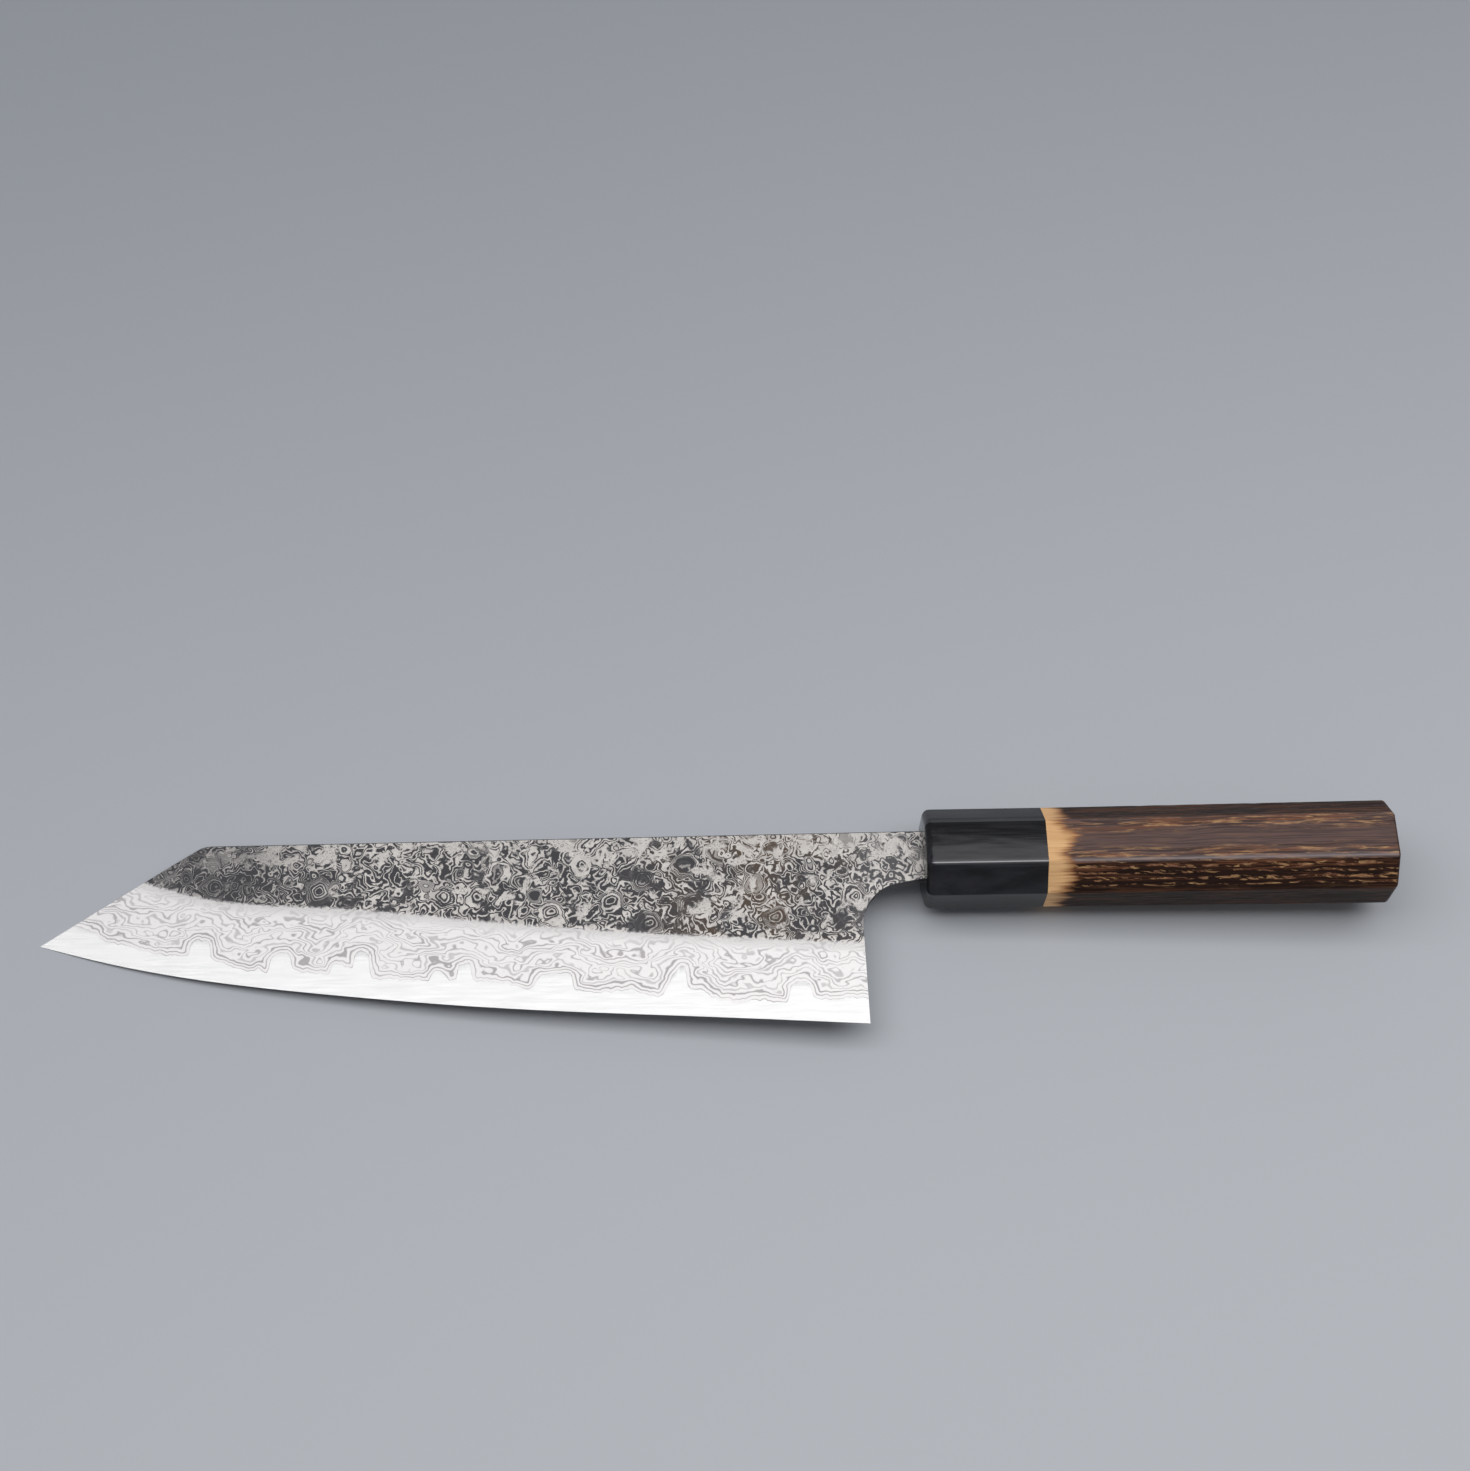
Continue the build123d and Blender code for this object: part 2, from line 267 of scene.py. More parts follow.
class BladeShape:
    """The blade's lines as functions of the place along it, in metres in the straight frame."""

    # Depths below the spine line as shares of the heel height, at stations from the heel to the tip.
    stations = np.array((0.0, 0.21, 0.455, 0.661, 0.815, 0.931, 1.0))
    edge_depths = np.array((1.0, 0.943, 0.875, 0.785, 0.694, 0.59, 0.51))
    ridge_depths = np.array((0.59, 0.531, 0.437, 0.342, 0.271, 0.106, -0.01))

    line_softening = 0.22 * MM
    line_samples = 7
    wave_sizes = (2.3 * MM, 4.1 * MM, 1.2 * MM)
    wave_depths = (0.12 * MM, 0.16 * MM, 0.05 * MM)
    wave_run = 3 * MM
    lean_reach = 8 * MM
    fan_start = -24 * MM
    fan_end = -5 * MM
    shoulder_width = 0.2 * MM
    arc_points, straight_points = 40, 10

    def __init__(self, sizes):
        self.sizes = sizes
        self.heel = -sizes.neck_length
        self.tip = -sizes.neck_length - sizes.edge_length
        self.neck_under = sizes.spine_offset - sizes.neck_height
        self.knots = (self.heel - sizes.edge_length * self.stations)[::-1]
        self.tip_y = self.edge(self.tip)

    def spine(self, x):
        return self.sizes.spine_offset - self.sizes.spine_fall * x / self.tip

    def below_spine(self, x, depths):
        values = self.spine(self.knots) - self.sizes.heel_height * depths[::-1]
        return spline_through(self.knots, values, x)

    def edge(self, x):
        return self.below_spine(x, self.edge_depths)

    def ridge(self, x):
        return self.below_spine(x, self.ridge_depths)

    def top(self, x):
        """Back line, then a round corner that touches both lines, then the spine."""
        fall = math.atan(-self.sizes.spine_fall / self.tip)
        back = self.sizes.back_angle
        radius = self.sizes.back_radius
        rise = self.spine(0.0) - self.tip_y + self.tip * math.tan(back)
        corner = rise / (math.tan(back) - math.tan(fall))
        corner_y = self.tip_y + (corner - self.tip) * math.tan(back)
        reach = radius / math.cos((back - fall) / 2)
        middle = corner + reach * math.sin((back + fall) / 2)
        middle_y = corner_y - reach * math.cos((back + fall) / 2)
        lines = np.minimum(self.tip_y + (x - self.tip) * math.tan(back), self.spine(x))
        round_part = middle_y + np.sqrt(np.maximum(radius**2 - (x - middle) ** 2, 0))
        in_corner = (x > middle - radius * math.sin(back)) & (x < middle - radius * math.sin(fall))
        return np.where(in_corner, round_part, lines)

    def core(self, x):
        """The core line: straight between its points, softened by a running mean, with short waves on it."""
        start = core_line_start * MM
        knots = np.array(((core_line_start, self.top(start) / MM), *core_line)) * MM
        smooth = np.interp(x, knots[:, 0], knots[:, 1])
        for shift in np.linspace(-1, 1, self.line_samples) * self.line_softening:
            smooth = smooth + np.interp(x + shift, knots[:, 0], knots[:, 1])
        smooth = smooth / (self.line_samples + 1)
        waves = rippled(x, self.wave_sizes, self.wave_depths, seed=5)
        return smooth + waves * np.clip((x - start) / self.wave_run, 0, 1)

    def cheek(self, x, y):
        """Half the thickness between the flats, which thin towards the tip, the tang's end and the edge."""
        sizes = self.sizes
        thick = sizes.spine_thickness
        blade = thick - (thick - sizes.tip_thickness) * x / self.tip
        tang = thick + (sizes.tang_end_thickness - thick) * x / sizes.tang_length
        depth = np.where(x > 0, sizes.spine_offset, self.spine(x)) - y
        return (np.where(x > 0, tang, blade) - sizes.cheek_taper * depth / sizes.heel_height) / 2

    def half_thickness(self, x, y):
        """Cheek above the ridge line, and below it a straight line down to the edge."""
        edge, ridge = self.edge(x), self.ridge(x)
        low = self.sizes.edge_thickness / 2
        bevel = low + (self.cheek(x, ridge) - low) * (y - edge) / (ridge - edge)
        return np.where(y < ridge, np.minimum(bevel, self.cheek(x, y)), self.cheek(x, y))

    def core_half(self, x, y):
        """Half the core, which thins to the tip and flares to the surface at the core line."""
        sizes = self.sizes
        thinning = sizes.core_thickness - sizes.core_tip_thickness
        plain = (sizes.core_thickness + thinning * np.minimum(x, 0) / -self.tip) / 2
        line = self.core(x)
        flare = np.exp(-np.maximum(y - line, 0) / sizes.core_blend)
        at_line = np.where(x < self.heel + WELD, self.half_thickness(x, line), plain)
        outer = self.half_thickness(x, y)
        return np.minimum(plain + (at_line - plain) * flare, np.minimum(outer, (outer + at_line) / 2))

    def leaned(self, x, y):
        """Shifts the last columns towards the tip with height, so that they end on the leaning heel line."""
        rise = (y - self.edge(self.heel)) / (self.heel_top()[1] - self.edge(self.heel))
        nearness = np.clip((x - self.heel + self.lean_reach) / self.lean_reach, 0, 1)
        return x - self.sizes.heel_lean * rise * nearness**2

    def heel_top(self):
        x = self.heel - self.sizes.heel_lean
        return np.array((x, self.neck_under + x * math.tan(self.sizes.neck_rise)))

    def underside(self):
        """From the ridge line's end up the heel, round the fillet and along the neck to the tang's end."""
        sizes = self.sizes
        top = self.heel_top()
        down = np.array((self.heel, self.edge(self.heel))) - top
        down /= np.linalg.norm(down)
        along = np.array((math.cos(sizes.neck_rise), math.sin(sizes.neck_rise)))
        half = math.acos(down @ along) / 2
        middle = top + (down + along) / np.linalg.norm(down + along) * sizes.heel_radius / math.sin(half)
        tangent = sizes.heel_radius / math.tan(half)
        first, last = (top + tangent * way - middle for way in (down, along))
        begin, end = math.atan2(first[1], first[0]) % math.tau, math.atan2(last[1], last[0])
        turns = np.linspace(begin, end, self.arc_points)
        arc = middle + sizes.heel_radius * np.stack((np.cos(turns), np.sin(turns)), 1)
        ridge_end = self.ridge(self.heel)
        start = np.array((self.leaned(self.heel, ridge_end), ridge_end))
        shares = np.linspace(0, 1, self.straight_points)[:, None]
        rise = start + shares * (arc[0] - start)
        neck = arc[-1] + shares[1:] * (np.array((0, self.neck_under)) - arc[-1])
        tang = np.array((
            (sizes.shoulder, self.neck_under),
            (sizes.shoulder + self.shoulder_width, -sizes.tang_height / 2),
            (sizes.tang_length, -sizes.tang_end_height / 2),
        ))
        return np.concatenate((rise, arc[1:], neck, tang))

    def topside(self, bottoms):
        """For each point of the underside, the point of the spine or tang at the upper end of its column."""
        sizes = self.sizes
        bend = bottoms[:, 0] < self.fan_end
        travel = np.concatenate(((0,), np.cumsum(np.linalg.norm(np.diff(bottoms, axis=0), axis=1))))
        fan = self.fan_start + (bottoms[bend][-1, 0] - self.fan_start) * travel / travel[bend][-1]
        x = np.where(bend, fan, bottoms[:, 0])
        ends = (sizes.tang_height / 2, sizes.tang_end_height / 2)
        tang = np.interp(x, (sizes.shoulder, sizes.tang_length), ends)
        spine = np.where(x > 0, sizes.spine_offset, self.spine(x))
        return np.stack((x, np.where(x > sizes.shoulder + self.shoulder_width / 2, tang, spine)), 1)


class Shell:
    """Collects grids of points and the quads between them, for one closed mesh."""

    def __init__(self):
        self.points = []
        self.quads = []
        self.count = 0

    def grid(self, points, flip=False):
        """Adds a grid of points with its quads, and returns the indices of the points."""
        indices = self.count + np.arange(points.shape[0] * points.shape[1]).reshape(points.shape[:2])
        self.points.append(points.reshape(-1, 3))
        self.count += indices.size
        self.sheet(indices, flip)
        return indices

    def sheet(self, indices, flip=False):
        corners = (indices[:-1, :-1], indices[1:, :-1], indices[1:, 1:], indices[:-1, 1:])
        quads = np.stack(corners, -1).reshape(-1, 4)
        self.quads.append(quads[:, ::-1] if flip else quads)

    def walls(self, near, far):
        """Joins each row of indices of one side to its row on the other side with a strip of quads."""
        for first, second in zip(near, far):
            self.sheet(np.stack((first, second), 0))

    def piece(self, name):
        """Lays the points down and makes the object: welds points that meet, drops faces without area
        and turns all faces outwards."""
        mesh = bpy.data.meshes.new(name)
        points = laid_down(np.concatenate(self.points))
        mesh.from_pydata(points.tolist(), [], np.concatenate(self.quads).tolist())
        work = bmesh.new()
        work.from_mesh(mesh)
        bmesh.ops.remove_doubles(work, verts=work.verts, dist=WELD)
        bmesh.ops.dissolve_degenerate(work, edges=work.edges, dist=WELD)
        bmesh.ops.recalc_face_normals(work, faces=work.faces)
        work.to_mesh(mesh)
        work.free()
        return linked(name, mesh)


def linked(name, data):
    """New object of that name, linked to the scene."""
    made = bpy.data.objects.new(name, data)
    bpy.context.scene.collection.objects.link(made)
    return made


def knife_tilt():
    """Angle by which the knife is laid down: tip and lower front rounding of the ferrule touch the floor."""
    blade, handle = bpy.context.scene.knife_blade, bpy.context.scene.knife_handle
    run = blade.neck_length + blade.edge_length + handle.ferrule_rounding
    drop = handle.ferrule_thickness / 2 - handle.ferrule_rounding - blade.edge_thickness / 2
    return math.atan2(drop, run) + math.asin(handle.ferrule_rounding / math.hypot(run, drop))


def knife_origin():
    """Where the middle of the ferrule's front face lies in the frame, found from the boxes of the CAD."""
    blade, tilt = bpy.context.scene.knife_blade, knife_tilt()
    reach = blade.neck_length + blade.edge_length
    half_edge = blade.edge_thickness / 2
    low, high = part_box("handle_body")
    x = cad_box[0][0] + reach * math.cos(tilt) + half_edge * math.sin(tilt)
    return np.array((x, (low.y + high.y) / 2, reach * math.sin(tilt) + half_edge * math.cos(tilt)))


def turned(points, tilt):
    """Points turned about Y by an angle."""
    x, y, z = np.moveaxis(points, -1, 0)
    return np.stack((x * math.cos(tilt) - z * math.sin(tilt), y, x * math.sin(tilt) + z * math.cos(tilt)), -1)


def laid_down(points):
    """From the straight frame to the frame: turned by the tilt, then moved to the knife's origin."""
    return turned(points, knife_tilt()) + knife_origin()


def straightened(points):
    """The other way round: from the frame back to the straight frame."""
    return turned(points - knife_origin(), -knife_tilt())


def straight_points(piece):
    """A piece's points in the straight frame, as arrays of x, y and z."""
    mesh = piece.data
    points = np.empty(len(mesh.vertices) * 3, np.float32)
    mesh.vertices.foreach_get("co", points)
    return straightened(points.reshape(-1, 3).astype(float)).T


def add_attribute(piece, name, values):
    layer = piece.data.attributes.new(name, "FLOAT", "POINT")
    layer.data.foreach_set("value", np.asarray(values, np.float32))


def finish_piece(piece, material, node, sharp_angle):
    """Finish, smooth shading with creases sharper than an angle, and the piece's place in the assembly."""
    dress(piece, material)
    piece.data.shade_smooth()
    piece.data.set_sharp_from_angle(angle=math.radians(sharp_angle))
    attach(piece, BODY)
    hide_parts(node)


def dress(thing, material):
    thing.data.materials.clear()
    thing.data.materials.append(material)


def blade_columns(shape):
    """Places of the columns, in runs that meet where the core line and the ridge line leave the back."""
    tried = np.linspace(-205 * MM, -190 * MM, 3001)
    ridge_start = tried[np.argmax(shape.top(tried) > shape.ridge(tried))]
    stops = (shape.tip, core_line_start * MM, ridge_start, shape.heel)
    counts = [max(2, round((b - a) / shape.sizes.column)) for a, b in zip(stops, stops[1:])]
    return [np.linspace(a, b, count) for a, b, count in zip(stops, stops[1:], counts)]


def columns_between(shape, x, low, high, rows, half):
    """Grid of upright columns between two lines: place along the blade, height and half thickness."""
    y = low[:, None] + (high - low)[:, None] * np.linspace(0, 1, rows)
    x = np.broadcast_to(x[:, None], y.shape)
    return np.stack((shape.leaned(x, y), y, half(x, y)), -1)


def upper_columns(shape, x, rows, half, soften):
    """Grid over cheek, neck and tang: straight columns from ridge line and underside up to the spine."""
    squeeze_start = -40 * MM
    soft_start, soft_run = -192 * MM, 6 * MM
    ridge = shape.ridge(x)
    leaned = np.stack((shape.leaned(x, ridge), ridge), 1)
    under = shape.underside()[1:]
    squeeze = np.interp(x, (x[0], squeeze_start, shape.heel), (x[0], squeeze_start, shape.fan_start))
    bottoms = np.concatenate((leaned, under))
    tops = np.concatenate((np.stack((squeeze, shape.top(squeeze)), 1), shape.topside(under)))
    grown = np.clip((tops[:, 0] - soft_start) / soft_run, 0, 1)
    soft = shape.sizes.spine_softening * grown * (tops[:, 0] <= 0)
    ends = tops - np.stack((np.zeros(len(soft)), soft), 1)
    steps = np.linspace(0, 1, rows)[None, :, None]
    flat = np.concatenate((bottoms[:, None] + (ends - bottoms)[:, None] * steps, tops[:, None]), 1)
    z = half(flat[..., 0], flat[..., 1])
    if soften:
        z[:, -1] -= soft
    return np.concatenate((flat, z[..., None]), -1)


def covered_grids(shape, half, bevel_rows, upper_rows, soften):
    """Two grids that meet at the ridge line: the bevel above the core line, and cheek, neck and tang."""
    back_run, ridge_run = blade_columns(shape)[1:]
    x = np.concatenate((back_run, ridge_run[1:]))
    ceiling = np.minimum(shape.ridge(x), shape.top(x))
    bevel = columns_between(shape, x, shape.core(x), ceiling, bevel_rows, half)
    bevel[0] = bevel[0, 0]
    upper = upper_columns(shape, ridge_run, upper_rows, half, soften)
    upper[: len(ridge_run), 0] = bevel[len(back_run) - 1 :, -1]
    upper[0] = upper[0, 0]
    return bevel, upper


def rims(shape, bevel, upper):
    """Where the two grids end: at the back, the heel, the underside, the spine and the tang's end."""
    back_run, ridge_run = blade_columns(shape)[1:]
    return bevel[: len(back_run), -1], bevel[-1], upper[len(ridge_run) - 1 :, 0], upper[:, -1], upper[-1]


def mirrored(points):
    return points * np.array((1, 1, -1))


def cladding(shape, side, name):
    """One outer layer of the blade: its ground outer face, its flat inner face and the walls round them."""
    shell = Shell()
    faces = []
    for half, is_outer in ((shape.half_thickness, True), (shape.core_half, False)):
        grids = covered_grids(shape, half, CLADDING_ROWS, CHEEK_ROWS, is_outer)
        faces.append([shell.grid(mirrored(grid) if side < 0 else grid) for grid in grids])
    outer, inner = faces
    shell.walls(rims(shape, *outer), rims(shape, *inner))
    return shell.piece(name)


def core(shape, name):
    """The middle layer: bare at the edge up to the core line, and flat between the claddings above it."""
    tip_run, back_run, ridge_run = blade_columns(shape)
    x = np.concatenate((tip_run, back_run[1:], ridge_run[1:]))
    crest = np.minimum(shape.core(x), shape.top(x))
    bare = columns_between(shape, x, shape.edge(x), crest, BARE_CORE_ROWS, shape.half_thickness)
    bare[0] = bare[0, 0]
    bare[0, :, 2] = shape.sizes.edge_thickness / 2
    grids = (bare, *covered_grids(shape, shape.core_half, CORE_ROWS, CORE_CHEEK_ROWS, False))
    shell = Shell()
    sides = []
    for is_far in (False, True):
        bare, *covered = [shell.grid(mirrored(grid) if is_far else grid, is_far) for grid in grids]
        sides.append((bare[:, 0], bare[: len(tip_run), -1], bare[-1], *rims(shape, *covered)))
    shell.walls(*sides)
    return shell.piece(name)


def measure_layers(shape, piece, line_points=2600, batch=4000):
    """Writes each point's height over the ridge line and its distance from the core line, in millimetres."""
    x, y = straight_points(piece)[:2]
    tried = np.linspace(core_line_start * MM, shape.heel + MM, line_points)
    line = np.stack((tried, shape.core(tried)), 1)
    distance = np.empty(len(x))
    for part in np.array_split(np.arange(len(x)), 1 + len(x) // batch):
        across = x[part, None] - line[:, 0]
        up = y[part, None] - line[:, 1]
        distance[part] = np.sqrt((across**2 + up**2).min(1))
    on_blade = np.clip(x, None, shape.heel)
    signed = np.where(y > shape.core(on_blade), distance, -distance)
    add_attribute(piece, "above_core", signed * PER_METRE)
    add_attribute(piece, "above_ridge", (y - shape.ridge(on_blade)) * PER_METRE)


def octagon_ring(height, thickness, cut, softening):
    """Points round an octagon, whose corners are arcs that touch the flats beside them."""
    quarter = np.array(((height / 2, thickness / 2 - cut), (height / 2 - cut, thickness / 2)))
    corners = np.concatenate((quarter, quarter[::-1] * (-1, 1), -quarter, quarter[::-1] * (1, -1)))
    before = corners - np.roll(corners, 1, 0)
    after = np.roll(corners, -1, 0) - corners
    before /= np.linalg.norm(before, axis=1)[:, None]
    after /= np.linalg.norm(after, axis=1)[:, None]
    half = np.arccos(np.clip((before * after).sum(1), -1, 1)) / 2
    starts = corners - before * (softening * np.tan(half))[:, None]
    inward = (after - before) / np.linalg.norm(after - before, axis=1)[:, None]
    middles = corners + inward * (softening / np.cos(half))[:, None]
    begin = np.arctan2(*(starts - middles).T[::-1])
    turns = begin[:, None] + 2 * half[:, None] * np.linspace(0, 1, CORNER_POINTS)
    arcs = middles[:, None] + softening * np.stack((np.cos(turns), np.sin(turns)), -1)
    ends = np.roll(arcs[:, 0], -1, 0)
    shares = np.linspace(0, 1, FLAT_POINTS + 2)[1:-1]
    flats = arcs[:, -1, None] + (ends - arcs[:, -1])[:, None] * shares[:, None]
    return np.concatenate((arcs, flats), 1).reshape(-1, 2)


def octagon_size(sizes, x):
    """Height and thickness of the octagon: even along the ferrule, then changing evenly up to the butt."""
    along = np.clip((x - sizes.ferrule_length) / (sizes.handle_length - sizes.ferrule_length), 0, 1)
    height = sizes.ferrule_height + (sizes.butt_height - sizes.ferrule_height) * along
    return height, sizes.ferrule_thickness + (sizes.butt_thickness - sizes.ferrule_thickness) * along


def handle_ring(sizes, x, inset, softening):
    """The octagon at one place along the handle, drawn in by an inset."""
    height, thickness = octagon_size(sizes, x)
    cut = height * sizes.corner_share - inset * (2 - math.sqrt(2))
    return octagon_ring(height - 2 * inset, thickness - 2 * inset, cut, softening)


def outer_rings(sizes, places, to_edge, rounding, softening):
    """Octagons along the handle, drawn in by a quarter round where they near the rounded edge."""
    near = np.minimum(to_edge, rounding)
    insets = rounding - np.sqrt(np.maximum(rounding**2 - (rounding - near) ** 2, 0))
    return [handle_ring(sizes, x, inset, softening) for x, inset in zip(places, insets)]


def circle_ring(ring, diameter):
    """The same points drawn on to a circle."""
    return ring / np.linalg.norm(ring, axis=1)[:, None] * diameter / 2


def slot_ring(ring, height, width, rise):
    """The same points drawn on to the upright opening for the neck."""
    ways = ring / np.linalg.norm(ring, axis=1)[:, None]
    reach = np.array((height, width)) / 2 / np.maximum(abs(ways), TINY)
    return ways * reach.min(1)[:, None] + (rise, 0)


def stacked(x_places, rings):
    """Rings of points set one behind the other along the handle."""
    return np.stack([np.insert(ring, 0, x, axis=1) for x, ring in zip(x_places, rings)])


def closed_tube(name, rings):
    """Closed piece from a stack of rings whose first and last ring are one point or the same ring."""
    shell = Shell()
    shell.grid(np.concatenate((rings, rings[:, :1]), 1))
    return shell.piece(name)


def ferrule(sizes):
    """Octagonal horn ferrule: outside round its rounded front edge, then back through the bores."""
    rounding, end = sizes.ferrule_rounding, sizes.ferrule_length
    front = rounding * (1 - np.cos(np.linspace(0, math.pi / 2, ROUNDING_RINGS)))
    places = np.concatenate((front, np.linspace(rounding, end, FERRULE_RINGS)[1:]))
    outside = outer_rings(sizes, places, places, rounding, sizes.horn_softening)
    bore = circle_ring(outside[-1], sizes.bore_diameter)
    mouth = slot_ring(outside[-1], sizes.mouth_height, sizes.mouth_width, sizes.mouth_rise)
    x_places = (0, *places, end, sizes.front_wall, sizes.front_wall, 0)
    return closed_tube("horn_ferrule", stacked(x_places, (mouth, *outside, bore, bore, mouth, mouth)))


def wood_relief(sizes, rings):
    """Grooves along the grain, cut in towards the axis: long waves along the handle and short ones round it,
    deepest where both agree."""
    x, y, z = np.moveaxis(rings, -1, 0)
    across = np.arctan2(z, y) * sizes.butt_height / 2
    sway = rippled(x, sizes=(41 * MM, 23 * MM), depths=(0.5 * MM, 0.3 * MM), seed=11)
    grooves = rippled(across + sway, sizes=(0.9 * MM, 1.6 * MM, 2.9 * MM), depths=(0.4, 0.35, 0.25), seed=12)
    breaks = rippled(x + across * 3, sizes=(7 * MM, 13 * MM), depths=(0.3, 0.3), seed=13)
    depth = sizes.grain_depth * np.clip(grooves + breaks, 0, 1)
    outward = np.stack((np.zeros(x.shape), y, z), -1)
    outward /= np.maximum(np.linalg.norm(outward, axis=-1)[..., None], TINY)
    return -outward * depth[..., None]


def handle_body(sizes):
    """Octagonal wooden body that swells to its softened butt, with brushed grain outside and bores inside."""
    front_fade, butt_fade = 4 * MM, 2 * MM
    rounding, start, end = sizes.butt_rounding, sizes.ferrule_length, sizes.handle_length
    tail = end - rounding * (1 - np.cos(np.linspace(math.pi / 2, 0, BUTT_RINGS)))
    places = np.concatenate((np.linspace(start, end - rounding, WOOD_RINGS)[:-1], tail))
    outside = outer_rings(sizes, places, end - places, rounding, sizes.wood_softening)
    rings = stacked(places, outside)
    fade = np.clip((places - start) / front_fade, 0, 1) * np.clip((end - places) / butt_fade, 0, 1)
    rings = rings + wood_relief(sizes, rings) * fade[:, None, None]
    bore = circle_ring(outside[0], sizes.bore_diameter)
    tip_bore = circle_ring(outside[0], sizes.tip_bore_diameter)
    shares = np.linspace(1, 0, BUTT_RINGS)[1:]
    butt = stacked([end] * len(shares), [outside[-1] * part for part in shares])
    depths = (sizes.tip_bore_end, sizes.tip_bore_end, sizes.dowel_end, sizes.dowel_end, start)
    bores = stacked(depths, (tip_bore * 0, tip_bore, tip_bore, bore, bore))
    return closed_tube("burnt_wood_handle", np.concatenate((bores, rings, butt)))


def measure_corners(sizes, piece, reach):
    """Writes how near each point is to one of the octagon's eight corners, from 0 at the reach to 1."""
    x, y, z = straight_points(piece)
    height, thickness = octagon_size(sizes, x)
    cut = height * sizes.corner_share
    first = np.hypot(abs(y) - height / 2, abs(z) - thickness / 2 + cut)
    second = np.hypot(abs(y) - height / 2 + cut, abs(z) - thickness / 2)
    add_attribute(piece, "corner", np.clip(1 - np.minimum(first, second) / reach, 0, 1))


class Signal:
    """The output of a node. Reckoning with it adds math nodes to its tree."""

    def __init__(self, sketch, socket):
        self.sketch = sketch
        self.socket = socket

    def __add__(self, other):
        return self.sketch.math("ADD", self, other)

    def __sub__(self, other):
        return self.sketch.math("SUBTRACT", self, other)

    def __rsub__(self, other):
        return self.sketch.math("SUBTRACT", other, self)

    def __mul__(self, other):
        return self.sketch.math("MULTIPLY", self, other)

    def __truediv__(self, other):
        return self.sketch.math("DIVIDE", self, other)

    def __rtruediv__(self, other):
        return self.sketch.math("DIVIDE", other, self)

    def __abs__(self):
        return self.sketch.math("ABSOLUTE", self)

    def ramp(self, low, high, start=0.0, end=1.0):
        """Smooth step: start where this signal is low, end where it is high."""
        inputs = {"Value": self, "From Min": low, "From Max": high, "To Min": start, "To Max": end}
        return self.sketch.add("ShaderNodeMapRange", inputs=inputs, interpolation_type="SMOOTHSTEP")

    def toned(self, start, end):
        """Smooth step between two numbers over the range from 0 to 1."""
        return self.ramp(0.0, 1.0, start, end)

    def other(self, output):
        """Another output of the same node."""
        return Signal(self.sketch, self.socket.node.outputs[output])


class NodeSketch:
    """Adds nodes to one tree and gives back their outputs."""

    def __init__(self, tree):
        self.tree = tree

    def add(self, kind, output=0, inputs=None, **settings):
        made = self.tree.nodes.new(kind)
        for key, value in settings.items():
            setattr(made, key, value)
        self.feed(made, inputs or {})
        return Signal(self, made.outputs[output])

    def feed(self, node, values):
        """Links signals to the node's sockets, and sets the other sockets to numbers, vectors or colours."""
        for key, value in values.items():
            socket = node.inputs[key]
            if isinstance(value, Signal):
                self.tree.links.new(value.socket, socket)
            elif socket.type == "RGBA":
                socket.default_value = (*value, 1.0)
            else:
                socket.default_value = value

    def math(self, operation, first, second=0.0):
        return self.add("ShaderNodeMath", inputs={0: first, 1: second}, operation=operation)

    def vector(self, operation, first, second):
        return self.add("ShaderNodeVectorMath", inputs={0: first, 1: second}, operation=operation)

    def shifted(self, position, way, reach):
        """The position moved along a vector, which is first scaled by the reach."""
        way = self.add("ShaderNodeVectorMath", inputs={0: way, "Scale": reach}, operation="SCALE")
        return self.vector("ADD", position, way)

    def magnitude(self, vector):
        return self.add("ShaderNodeVectorMath", "Value", {0: vector}, operation="LENGTH")

    def split(self, vector):
        x = self.add("ShaderNodeSeparateXYZ", inputs={0: vector})
        return x, x.other(1), x.other(2)

    def join(self, x, y, z):
        return self.add("ShaderNodeCombineXYZ", inputs={0: x, 1: y, 2: z})

    def mix(self, share_of_second, first, second, blend="MIX"):
        inputs = {0: share_of_second, 6: first, 7: second}
        return self.add("ShaderNodeMix", 2, inputs, data_type="RGBA", blend_type=blend)

    def noise(self, position, scale, detail=2.0, roughness=0.5, distortion=0.0, output=0):
        inputs = {"Vector": position, "Scale": scale, "Detail": detail, "Roughness": roughness}
        return self.add("ShaderNodeTexNoise", output, {**inputs, "Distortion": distortion})

    def drawn_noise(self, position, stretch, roughness=0.5):
        """Noise of a position whose axes are first multiplied by the stretch."""
        return self.noise(self.vector("MULTIPLY", position, stretch), 1.0, 2.0, roughness)

    def attribute(self, name):
        return self.add("ShaderNodeAttribute", "Fac", attribute_name=name)

    def part(self, group, inputs):
        """Places a node group and gives back its first output."""
        made = self.tree.nodes.new("ShaderNodeGroup")
        made.node_tree = group
        self.feed(made, {key.title(): value for key, value in inputs.items()})
        return Signal(self, made.outputs[0])


